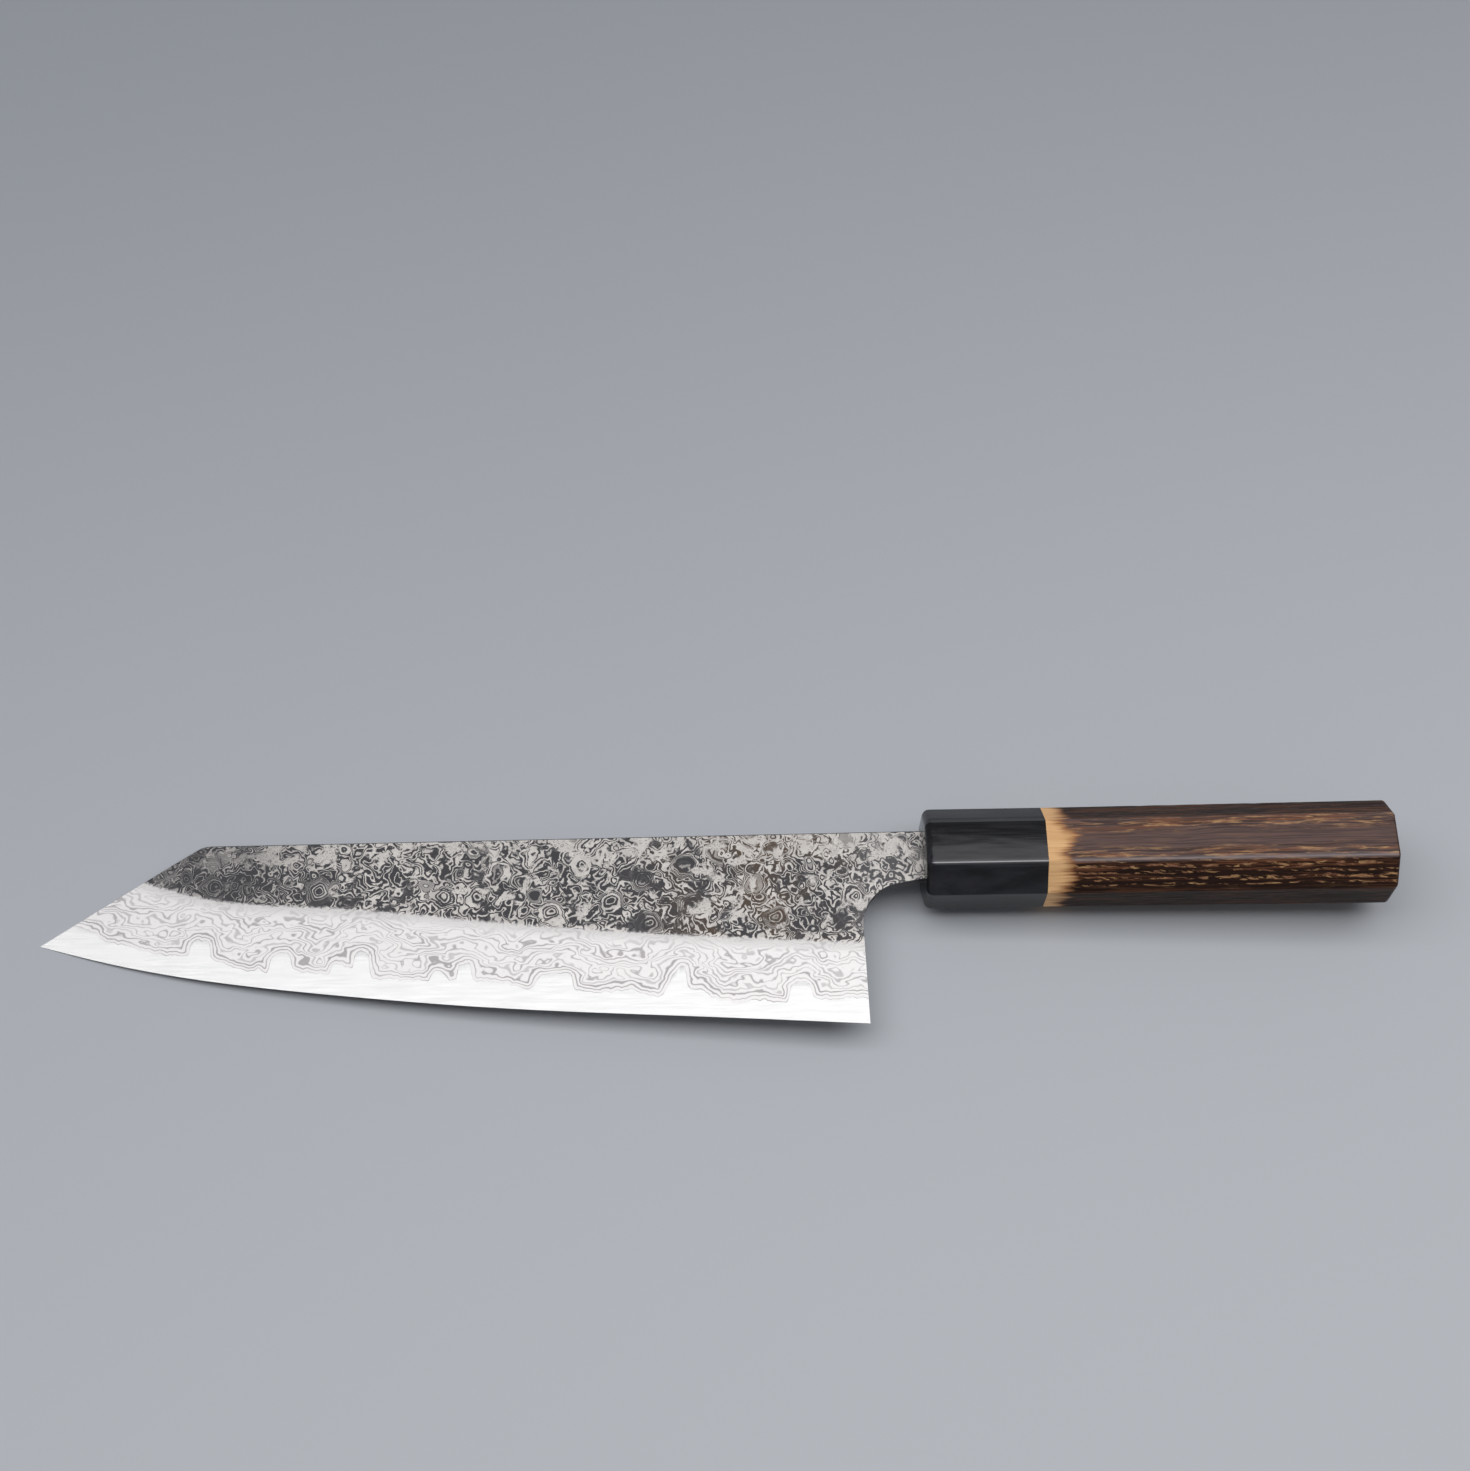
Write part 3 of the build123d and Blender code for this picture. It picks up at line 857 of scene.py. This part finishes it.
def shared_group(name, fill, defaults):
    """The node group of that name, made on its first use. Its inputs are floats, or a vector where the
    default is None, and the filling function gives its float outputs by name."""
    if name in bpy.data.node_groups:
        return bpy.data.node_groups[name]
    tree = bpy.data.node_groups.new(name, "ShaderNodeTree")
    for label, default in defaults.items():
        kind = "NodeSocketVector" if default is None else "NodeSocketFloat"
        socket = tree.interface.new_socket(label, in_out="INPUT", socket_type=kind)
        if default is not None:
            socket.default_value = default
    sketch = NodeSketch(tree)
    given = tree.nodes.new("NodeGroupInput").outputs
    outputs = fill(sketch, {label: Signal(sketch, given[label]) for label in defaults})
    for label in outputs:
        tree.interface.new_socket(label, in_out="OUTPUT", socket_type="NodeSocketFloat")
    sketch.feed(tree.nodes.new("NodeGroupOutput"), outputs)
    return tree


def level_cut(raw, level, softness):
    """Smooth step from the softness below the level to the softness above it."""
    return raw.ramp(level - softness, level + softness)


def fill_streaks(sketch, given):
    x, y, z = sketch.split(given["Position"])
    sway = sketch.noise(given["Position"], 0.05, 1.0) * 1.5
    drawn = sketch.join(x / given["Length"], (y + sway) / given["Width"], z / given["Width"])
    return {"Streak": level_cut(sketch.noise(drawn, 1.0, 3.0, 0.6), given["Level"], given["Softness"])}


def streaks(sketch, **inputs):
    """Fine streaks along the knife: noise drawn out to the given length at the given width."""
    defaults = {"Position": None, "Length": 20.0, "Width": 0.4, "Level": 0.5, "Softness": 0.15}
    return sketch.part(shared_group("streaks_along_knife", fill_streaks, defaults), inputs)


def fill_blotches(sketch, given):
    raw = sketch.noise(given["Position"], 1.0 / given["Size"], 4.0, 0.62, 0.4)
    return {"Blotch": level_cut(raw, given["Level"], given["Softness"])}


def blotches(sketch, **inputs):
    """Soft or sharp patches: noise cut at a level, with the given size and softness."""
    defaults = {"Position": None, "Size": 5.0, "Level": 0.5, "Softness": 0.1}
    return sketch.part(shared_group("blotches", fill_blotches, defaults), inputs)


def fill_layer_lines(sketch, given):
    widest, tone_shift = 0.85, 0.37
    swing = sketch.math("PINGPONG", given["Height"], 0.5) * 2.0
    layer = sketch.math("FLOOR", given["Height"] + 0.5)
    chance = sketch.add("ShaderNodeTexWhiteNoise", inputs={"W": layer}, noise_dimensions="1D")
    tone = sketch.add("ShaderNodeTexWhiteNoise", inputs={"W": layer + tone_shift}, noise_dimensions="1D")
    uneven = given["Unevenness"] * (chance * 2.0 - 1.0)
    width = sketch.math("MINIMUM", given["Share"] * uneven + given["Share"], widest)
    return {"Line": 1.0 - level_cut(swing, width, given["Softness"]), "Tone": tone}


def layer_lines(sketch, **inputs):
    """Stripes where a slowly changing height passes one layer after the other, each layer with its own width.
    A second output gives the tone of each layer."""
    defaults = {"Height": 0.0, "Share": 0.4, "Softness": 0.1, "Unevenness": 0.0}
    return sketch.part(shared_group("layer_lines", fill_layer_lines, defaults), inputs)


def knife_position(sketch):
    """Object coordinates turned and moved into the straight frame, in millimetres."""
    raw = sketch.add("ShaderNodeTexCoord", "Object")
    start = tuple(straightened(np.zeros((1, 3)))[0] * PER_METRE)
    turn = (0, knife_tilt(), 0)
    inputs = {"Vector": raw, "Location": start, "Rotation": turn, "Scale": (PER_METRE,) * 3}
    return sketch.add("ShaderNodeMapping", inputs=inputs, vector_type="POINT")


def new_material(name, settings=None):
    """Material with a plain shader whose uniform settings are given by socket name."""
    material = bpy.data.materials.new(name)
    material.use_nodes = True
    shader = material.node_tree.nodes["Principled BSDF"]
    sketch = NodeSketch(material.node_tree)
    sketch.feed(shader, settings or {})
    return material, sketch, shader


def bump(sketch, height, distance, strength=1.0):
    inputs = {"Height": height, "Distance": distance * MM, "Strength": strength}
    return sketch.add("ShaderNodeBump", inputs=inputs)


def painted_edge_highlight(sketch, y, z):
    """Mask of the painted highlight on the long edges: beside the broad facets, mostly on the edge's side,
    where the rounded edges would mirror the lamps.
    """
    broad = (abs(z) - abs(y)).ramp(2.0, 3.5)
    return sketch.attribute("corner") * (broad * y.ramp(-2.0, 2.0, 1.0, 0.12))


def facing(sketch, axis):
    """How far the faces look along one axis of the frame."""
    return sketch.split(sketch.add("ShaderNodeNewGeometry", "True Normal"))[axis]


def both_sides(sketch, position):
    """Flat position on a cheek, shifted on the far cheek so that the two sides differ."""
    shift_x, shift_y = 53.0, 31.0
    x, y, z = sketch.split(position)
    far = sketch.math("LESS_THAN", z, 0.0)
    return sketch.join(far * shift_x + x, far * shift_y + y, 0.0)


def folded_layers(sketch, position):
    """How many layers lie under the surface: broad swells with knots between them."""
    drops = sketch.noise(position, 0.16, 0.0) - 0.5
    knots = sketch.noise(position, 0.4, 1.0, 0.4) - 0.5
    return drops * 8.0 + knots * 4.6


def nested_rings(sketch, position, height, spacing, rings):
    """Near scattered points, where the layers were punched in, the height follows the distance from them."""
    inputs = {"Vector": position, "Scale": 1.0 / spacing}
    distance = sketch.add("ShaderNodeTexVoronoi", "Distance", inputs, feature="F1")
    size = sketch.split(distance.other("Color"))[0].ramp(0.1, 0.7, 0.12, 0.42)
    nearness = (distance / size).ramp(0.6, 1.1, 1.0, 0.0)
    ringed = distance * rings + folded_layers(sketch, distance.other("Position"))
    return height + nearness * (ringed - height)


def forged_steel(sketch, colours, position, flat, bent, less_bent, fine, above_ridge):
    """Colour above the ridge line and its share of pale layers: rings and lines, bare patches, forge skin."""
    x, y = sketch.split(position)[:2]
    height = nested_rings(sketch, less_bent, folded_layers(sketch, bent), spacing=4.1, rings=4.9)
    height = nested_rings(sketch, less_bent, height, spacing=8.6, rings=10.5)
    finer_at_tip = x.ramp(-195.0, -135.0, 1.5, 1.0)
    height = height * finer_at_tip + fine * 0.5

    under_spine = y.ramp(-4.0, 5.0) * blotches(sketch, position=flat, size=15.0, level=0.5, softness=0.1)
    spread = under_spine * 0.28 + sketch.noise(flat, 0.09, 1.0).ramp(0.35, 0.65, 0.31, 0.53)
    less_at_tip = x.ramp(-200.0, -125.0, -0.17, 0.03)
    more_on_neck = x.ramp(-28.0, -14.0, 0.0, 0.14)
    more_at_ridge = above_ridge.ramp(0.3, 2.5, 0.12, 0.0)
    spread = spread + less_at_tip + more_on_neck + more_at_ridge
    line = layer_lines(sketch, height=height, share=spread, softness=0.17, unevenness=0.45)

    clouds = sketch.noise(flat, 0.3, 2.0).ramp(0.35, 0.6, 0.8, 1.0)
    darker_at_tip = x.ramp(-195.0, -135.0, 0.6, 1.0)
    pale = line * line.other("Tone").toned(0.56, 1.0) * clouds * darker_at_tip
    bare = blotches(sketch, position=flat, size=5.0, level=y.ramp(-4.0, 6.0, 0.6, 0.53), softness=0.03)
    bare = bare * x.ramp(-195.0, -150.0, 0.2, 1.0)
    skin = blotches(sketch, position=bent, size=6.5, level=0.6, softness=0.03)
    pale = pale * (skin * -0.9 + 1.0)
    pale = sketch.math("MAXIMUM", pale, bare * fine.ramp(0.32, 0.5, 0.3, 0.95))

    near_heel = x.ramp(-85.0, -45.0) * x.ramp(-12.0, -30.0)
    brown = near_heel * blotches(sketch, position=flat, size=18.0, level=0.5, softness=0.12)
    dark = sketch.mix(brown, colours.forge_black, colours.forge_brown)
    dark = sketch.mix(x.ramp(-26.0, -12.0, 0.0, 0.2), dark, colours.neck_grey)
    return sketch.mix(pale, dark, colours.bare_layer), pale


def polished_steel(sketch, colours, bent, fine, above_core, above_ridge):
    """Colour below the ridge line and its share of grey layers, which follow the core line beside it."""
    drawn = sketch.vector("MULTIPLY", bent, (0.42, 1.0, 1.0))
    swell = sketch.noise(drawn, 0.3, 1.0, 0.45) - 0.5
    reach = above_core.ramp(0.2, 3.5, 0.5, 7.0)
    near = sketch.math("MINIMUM", above_core, 2.2) * 0.3
    height = above_core * 0.72 + near + swell * reach + fine * 0.14
    width = sketch.noise(drawn, 0.2, 1.0).ramp(0.35, 0.65, 0.2, 0.42)
    line = layer_lines(sketch, height=height, share=width, softness=0.26, unevenness=0.35)
    grey = line * line.other("Tone").toned(0.55, 1.0)
    faded = above_ridge.ramp(-5.0, -0.8, 1.0, 0.2)
    steel = sketch.mix(grey * faded, colours.bevel_ground, colours.bevel_line)
    haze = above_ridge.ramp(-3.5, -0.3, 0.0, 0.75)
    return sketch.mix(haze, steel, colours.bevel_haze), grey


def cladding_material(colours):
    """Layered steel: dark forge skin with pale contour lines above the ridge, polished grey lines below it,
    and the layers cut across on the spine, the heel and the underside of the neck."""
    polished_metal = 0.95
    material, sketch, shader = new_material("layered_cladding_steel")
    position = knife_position(sketch)
    flat = both_sides(sketch, position)
    above_core = sketch.attribute("above_core")
    above_ridge = sketch.attribute("above_ridge")
    wander = sketch.vector("SUBTRACT", sketch.noise(flat, 0.26, 1.0, output="Color"), (0.5, 0.5, 0.5))
    bent = sketch.shifted(flat, wander, 3.4)
    less_bent = sketch.shifted(flat, wander, 2.6)
    fine = sketch.noise(flat, 2.6, 2.0, 0.6)
    upper, pale = forged_steel(sketch, colours, position, flat, bent, less_bent, fine, above_ridge)
    lower, grey = polished_steel(sketch, colours, bent, fine, above_core, above_ridge)

    layers_across = sketch.split(position)[2] * 3.1 + sketch.drawn_noise(position, (0.12, 0.12, 0.6))
    cut_line = layer_lines(sketch, height=layers_across, share=0.35, softness=0.2)
    cut_steel = sketch.mix(cut_line * 0.4, colours.forge_black, colours.bare_layer)
    narrow = abs(facing(sketch, 2)).ramp(0.75, 0.9, 1.0, 0.0)
    fray = (sketch.noise(flat, 1.1, 3.0, 0.65) - 0.5) * 2.0
    is_upper = (fray + above_ridge).ramp(-0.4, 0.6)
    sketch.feed(shader, {
        "Base Color": sketch.mix(is_upper, lower, sketch.mix(narrow, upper, cut_steel)),
        "Roughness": sketch.mix(is_upper, grey.toned(0.34, 0.46), pale.toned(0.55, 0.42)),
        "Metallic": is_upper * (pale.toned(0.55, 0.9) - polished_metal) + polished_metal,
        "Normal": bump(sketch, grey * -0.25 + pale * is_upper, 0.02),
    })
    return material


def core_material(colours):
    """Core steel: almost white satin at the edge, greyer at the tip, dark where it shows on the spine."""
    material, sketch, shader = new_material("polished_core_steel", {"Metallic": 0.95})
    position = knife_position(sketch)
    above_core = sketch.attribute("above_core")
    satin = streaks(sketch, position=position, length=9.0, width=0.25, softness=0.23)
    tip = sketch.split(position)[0].ramp(-219.0, -205.0, 0.2, 0.0) * above_core.ramp(-3.5, -0.5, 0.4, 1.0)
    spots = blotches(sketch, position=both_sides(sketch, position), size=3.1, level=0.83, softness=0.01)
    white = sketch.mix(satin * 0.03, colours.core_white, colours.bevel_line)
    white = sketch.mix(tip, white, colours.bare_layer)
    white = sketch.mix(spots, white, colours.bevel_line)
    inner = above_core.ramp(0.1, 0.5)
    sketch.feed(shader, {
        "Base Color": sketch.mix(inner, white, colours.forge_black),
        "Roughness": satin.toned(0.3, 0.38),
    })
    return material


def horn_material(colours):
    """Polished black horn with faint pale marbling, a painted sheen on the broad facets towards the edge's
    side and a painted highlight on the long edges.
    """
    material, sketch, shader = new_material("polished_black_horn", {"IOR": 1.37})
    position = knife_position(sketch)
    y, z = sketch.split(position)[1:]
    broad = abs(z).ramp(9.0, 10.5)
    drawn = sketch.vector("MULTIPLY", position, (0.35, 1.0, 1.0))
    marble = blotches(sketch, position=drawn, size=9.0, level=0.56, softness=0.12)
    streak = streaks(sketch, position=position, length=14.0, width=0.5, softness=0.2)
    # Painted sheen: paler on the broad facets towards the edge's side, where they would mirror the lamps.
    sheen = y.ramp(4.0, -4.0) * broad * (streak * 0.5 + 0.1)
    base = sketch.mix(marble * 0.5, colours.horn_black, colours.horn_marble)
    base = sketch.mix(streak * 0.2, base, colours.horn_fibre)
    base = sketch.mix(sheen, base, colours.painted_horn_sheen)
    waves = sketch.drawn_noise(position, (0.045, 0.22, 0.22), 0.45)
    crown = y * y * -0.02
    sketch.feed(shader, {
        # Painted highlight on the long edges beside the broad facets.
        "Base Color": sketch.mix(painted_edge_highlight(sketch, y, z), base, colours.horn_edge_highlight),
        "Roughness": streak.toned(0.1, 0.16),
        "Normal": bump(sketch, waves * 0.9 + crown * broad, 0.1),
    })
    return material


def end_grain(sketch, y, z, colours):
    """Growth rings round a heart outside the handle, with pores between them."""
    heart_y, heart_z = -21.0, -8.0
    centred = sketch.join(y - heart_y, z - heart_z, 0.0)
    height = sketch.magnitude(centred) * 0.55 + sketch.noise(centred, 0.2, 2.0)
    ring = layer_lines(sketch, height=height, share=0.45, softness=0.3, unevenness=0.4)
    pore = sketch.add("ShaderNodeTexVoronoi", "Distance", {"Vector": centred, "Scale": 1.9}, feature="F1")
    base = sketch.mix(ring * 0.35, colours.burnt_wood, colours.copper_wood)
    return sketch.mix(pore.ramp(0.12, 0.22, 0.8, 0.0), base, colours.wood_pore)


def wood_material(colours):
    """Burnt and waxed coarse wood with a painted sheen on the broad facets and a painted highlight on the
    long edges, pale beside the ferrule with a ragged scorched border.
    """
    material, sketch, shader = new_material("burnt_waxed_wood", {"IOR": 1.2})
    position = knife_position(sketch)
    x, y, z = sketch.split(position)
    long_fibre = streaks(sketch, position=position, length=24.0, width=0.42, softness=0.13)
    hair = streaks(sketch, position=position, length=5.0, width=0.16, softness=0.2)
    band = streaks(sketch, position=position, length=42.0, width=2.4, level=0.53, softness=0.06)
    fleck = streaks(sketch, position=position, length=9.0, width=0.7, level=0.55, softness=0.05)
    near_edges = abs(y).ramp(1.0, 4.0, 0.1, 1.0)
    flatness = abs(z) - abs(y)
    slanted = abs(flatness).ramp(4.4, 5.6, 1.0, 0.0)
    broad = flatness.ramp(4.4, 5.6)
    # Slanted facets, mostly on the edge's side: the pale dashes are drawn only faintly on the back bevels,
    # which keeps them darker as painted shade.
    edge_side = slanted * y.ramp(1.0, -1.0, 0.12, 1.0)
    wobble = sketch.drawn_noise(position, (0.13, 0.45, 0.45))

    row_height = flatness * 0.4 + wobble * 1.7
    row = layer_lines(sketch, height=row_height, share=0.38, softness=0.16, unevenness=0.3)
    skewed = sketch.join(flatness * 1.3 + x, y, z)
    short = streaks(sketch, position=skewed, length=2.4, width=0.75, level=0.52, softness=0.04)
    dash = row * short * edge_side
    dash_tone = sketch.drawn_noise(position, (0.3, 0.9, 0.9)).ramp(0.35, 0.65)
    dash_colour = sketch.mix(dash_tone, colours.red_wood, colours.gold_wood)

    # Painted sheen: a paler colour added on the broad facets, standing in for their reflection of the lamps.
    base = sketch.mix(broad * 0.8, colours.burnt_wood, colours.painted_wood_sheen, "ADD")
    warm = (band * near_edges * 0.75 + 0.12) * flatness.ramp(-2.0, 5.6, 0.45, 1.0)
    base = sketch.mix(warm * long_fibre.toned(0.25, 1.0), base, colours.copper_wood)
    dark_fibre = (1.0 - long_fibre) * near_edges.toned(0.4, 0.7)
    base = sketch.mix(dark_fibre, base, colours.burnt_wood)
    fleck = fleck * near_edges * flatness.ramp(-5.0, 5.6, 0.1, 1.0) * (1.0 - slanted)
    base = sketch.mix(fleck * hair.toned(0.25, 0.9), base, dash_colour)
    base = sketch.mix(dash * hair.toned(0.45, 0.95), base, dash_colour)
    # Painted highlight, pale lilac, on the long edges beside the broad facets.
    base = sketch.mix(painted_edge_highlight(sketch, y, z) * 0.7, base, colours.wood_edge_highlight)
    on_butt = facing(sketch, 0).ramp(0.35, 0.8)
    base = sketch.mix(on_butt, base, end_grain(sketch, y, z, colours))

    bulge = abs(y - 0.5).ramp(0.5, 4.5, 3.0, 0.0)
    ragged = x - (bulge * broad + edge_side * 1.6)
    ragged = ragged + (long_fibre - 0.5) * 1.5 + (hair - 0.5) * 0.9 + (wobble - 0.5) * 5.0
    bare = sketch.mix(long_fibre * 0.3, colours.bare_wood, colours.bare_fibre)
    scorched = (1.0 - hair) * ragged.ramp(31.0, 36.0, 0.0, 0.35) + ragged.ramp(32.5, 35.8, 0.0, 0.6)
    bare = sketch.mix(scorched, bare, colours.scorched_wood)
    burnt = ragged.ramp(34.7, 36.9)
    sketch.feed(shader, {
        "Base Color": sketch.mix(burnt, bare, base),
        "Roughness": long_fibre.toned(0.34, 0.5),
        "Normal": bump(sketch, long_fibre, 0.04, 0.6),
    })
    return material


def hidden_material(name, base, dark, roughness, streak_length, streak_width):
    """Plain hidden material with soft streaks between two colours."""
    material, sketch, shader = new_material(name)
    position = knife_position(sketch)
    streak = streaks(sketch, position=position, length=streak_length, width=streak_width, softness=0.19)
    sketch.feed(shader, {
        "Base Color": sketch.mix(streak, base, dark),
        "Roughness": streak.toned(roughness, roughness + 0.12),
    })
    return material


class KNIFE_OT_cladding(bpy.types.Operator):
    """Makes the two layered outer claddings of the blade"""

    bl_idname = "knife.cladding"
    bl_label = "Claddings"

    def execute(self, context):
        shape = BladeShape(context.scene.knife_blade)
        material = cladding_material(context.scene.knife_colours)
        for side, node in ((1, "left_cladding"), (-1, "right_cladding")):
            piece = cladding(shape, side, node.replace("_", "_layered_"))
            measure_layers(shape, piece)
            finish_piece(piece, material, node, sharp_angle=12)
        return {"FINISHED"}


class KNIFE_OT_core(bpy.types.Operator):
    """Makes the core layer of the blade, which shows at the edge"""

    bl_idname = "knife.core"
    bl_label = "Core"

    def execute(self, context):
        shape = BladeShape(context.scene.knife_blade)
        piece = core(shape, "bright_core")
        measure_layers(shape, piece)
        material = core_material(context.scene.knife_colours)
        finish_piece(piece, material, "core_steel", sharp_angle=12)
        return {"FINISHED"}


class KNIFE_OT_ferrule(bpy.types.Operator):
    """Makes the horn ferrule"""

    bl_idname = "knife.ferrule"
    bl_label = "Ferrule"

    def execute(self, context):
        sizes = context.scene.knife_handle
        piece = ferrule(sizes)
        measure_corners(sizes, piece, sizes.horn_highlight_reach)
        material = horn_material(context.scene.knife_colours)
        finish_piece(piece, material, "ferrule", sharp_angle=35)
        return {"FINISHED"}


class KNIFE_OT_handle(bpy.types.Operator):
    """Makes the burnt wooden handle"""

    bl_idname = "knife.handle"
    bl_label = "Handle"

    def execute(self, context):
        sizes = context.scene.knife_handle
        piece = handle_body(sizes)
        measure_corners(sizes, piece, sizes.wood_highlight_reach)
        material = wood_material(context.scene.knife_colours)
        finish_piece(piece, material, "handle_body", sharp_angle=50)
        return {"FINISHED"}


class KNIFE_OT_joinery(bpy.types.Operator):
    """Finishes the dowel, the resin round the tang and the seal in the ferrule's mouth"""

    bl_idname = "knife.joinery"
    bl_label = "Joinery"

    # For each node: two colours, the roughness, and the length and width of the streaks in millimetres.
    finishes = {
        "joining_dowel": ((0.62, 0.42, 0.22), (0.42, 0.25, 0.11), 0.55, 18.0, 0.5),
        "tang_adhesive": ((0.45, 0.3, 0.1), (0.32, 0.2, 0.06), 0.2, 6.0, 2.0),
        "mouth_seal": ((0.02, 0.018, 0.016), (0.035, 0.03, 0.026), 0.5, 1.5, 0.6),
    }

    def execute(self, context):
        for node, finish in self.finishes.items():
            dress(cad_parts[node], hidden_material(node + "_finish", *finish))
        return {"FINISHED"}


def seen_share(sketch):
    """1 for the camera's rays and for mirrored ones, 0 for the rays that light the pieces."""
    camera = sketch.add("ShaderNodeLightPath", "Is Camera Ray")
    return sketch.math("MAXIMUM", camera, camera.other("Is Glossy Ray"))


class KNIFE_OT_stage(bpy.types.Operator):
    """Sets the floor, the lamps, the world and the camera"""

    bl_idname = "knife.stage"
    bl_label = "Stage"

    def execute(self, context):
        settings, colours = context.scene.knife_stage, context.scene.knife_colours
        self.floor(settings, colours)
        self.lamp(
            "softbox", place=(-0.02, 0.035, 1.0), target=(-0.02, 0.035, 0.0), wide=2.0, deep=0.55,
            radiance=settings.softbox,
        )
        self.lamp(
            "back_softbox", place=(0.0, 0.36, 1.0), target=(0.0, 0.03, 0.0), wide=2.0, deep=0.13,
            radiance=settings.back_softbox,
        )
        context.scene.world = self.world(settings, colours)
        context.scene.camera = self.camera(settings)
        context.scene.view_settings.view_transform = "Standard"
        return {"FINISHED"}

    def floor(self, settings, colours):
        """Square floor with painted light that grows paler towards the camera and to the right, and fades
        into the background far away.
        """
        half = settings.floor_size / 2
        mesh = bpy.data.meshes.new("floor")
        corners = [(-half, -half, 0), (half, -half, 0), (half, half, 0), (-half, half, 0)]
        mesh.from_pydata(corners, [], [(0, 1, 2, 3)])
        made = linked("floor", mesh)
        material, sketch, shader = new_material("plain_floor", {"Roughness": 0.75, "Specular IOR Level": 0.0})
        position = sketch.add("ShaderNodeTexCoord", "Object")
        x, y = sketch.split(position)[:2]
        # Painted light on the floor: paler towards the camera and to the right, with a little noise.
        painted_light_slope = y * -0.85 + x * 0.28
        near = sketch.noise(position, 3.0, 2.0) * 0.06 + painted_light_slope.ramp(-0.45, 0.3)
        lit = sketch.mix(near, colours.floor, colours.painted_lit_floor)
        far = sketch.magnitude(position).ramp(0.36, 1.25)
        sketch.feed(shader, {
            "Base Color": sketch.mix(far, lit, (0.0, 0.0, 0.0)),
            "Emission Color": colours.background,
            "Emission Strength": far * seen_share(sketch),
        })
        dress(made, material)

    def lamp(self, name, place, target, wide, deep, radiance):
        data = bpy.data.lights.new(name, "AREA")
        data.shape = "RECTANGLE"
        data.size = wide
        data.size_y = deep
        data.energy = radiance * math.pi * wide * deep
        made = linked(name, data)
        made.location = place
        made.rotation_euler = (Vector(place) - Vector(target)).to_track_quat("Z", "Y").to_euler()

    def world(self, settings, colours):
        """Dim light from all round; the camera and the gloss of the pieces see the plain background."""
        world = bpy.data.worlds.new("soft_studio")
        world.use_nodes = True
        sketch = NodeSketch(world.node_tree)
        y, z = sketch.split(sketch.add("ShaderNodeTexCoord", "Generated"))[1:]
        glow = (y * 0.35 + z).ramp(-0.2, 1.0, 0.08, settings.sky)
        grey = sketch.join(glow, glow, glow * 1.03)
        seen = sketch.mix(seen_share(sketch), grey, colours.background)
        sketch.feed(world.node_tree.nodes["Background"], {"Color": seen})
        return world

    def camera(self, settings):
        data = bpy.data.cameras.new("camera")
        data.sensor_fit = "HORIZONTAL"
        data.sensor_width = 36.0
        data.lens = settings.lens
        data.clip_start = 0.01
        made = linked("camera", data)
        made.location = settings.camera_place
        made.rotation_euler = Euler(settings.camera_turn, "XYZ")
        return made


class KNIFE_PT_sidebar(bpy.types.Panel):
    """Lists the knife's pieces and sizes"""

    bl_idname = "KNIFE_PT_sidebar"
    bl_label = "Kiritsuke Knife"
    bl_space_type = "VIEW_3D"
    bl_region_type = "UI"
    bl_category = "Knife"

    def draw(self, context):
        for operator in operators:
            self.layout.operator(operator.bl_idname)
        for group in (context.scene.knife_blade, context.scene.knife_handle, context.scene.knife_colours):
            box = self.layout.box()
            for key in group.__annotations__:
                box.prop(group, key)


groups = {
    "knife_blade": BladeSizes,
    "knife_handle": HandleSizes,
    "knife_colours": FinishColours,
    "knife_stage": StageSettings,
}
operators = (
    KNIFE_OT_cladding,
    KNIFE_OT_core,
    KNIFE_OT_ferrule,
    KNIFE_OT_handle,
    KNIFE_OT_joinery,
    KNIFE_OT_stage,
)


def register():
    for item in (*groups.values(), *operators, KNIFE_PT_sidebar):
        bpy.utils.register_class(item)
    for name, group in groups.items():
        setattr(bpy.types.Scene, name, PointerProperty(type=group))


def unregister():
    for name in groups:
        delattr(bpy.types.Scene, name)
    for item in (KNIFE_PT_sidebar, *reversed(operators), *reversed(groups.values())):
        bpy.utils.unregister_class(item)


def main():
    register()
    bpy.ops.knife.cladding()
    bpy.ops.knife.core()
    bpy.ops.knife.ferrule()
    bpy.ops.knife.handle()
    bpy.ops.knife.joinery()
    bpy.ops.knife.stage()


if __name__ == "__main__":
    main()
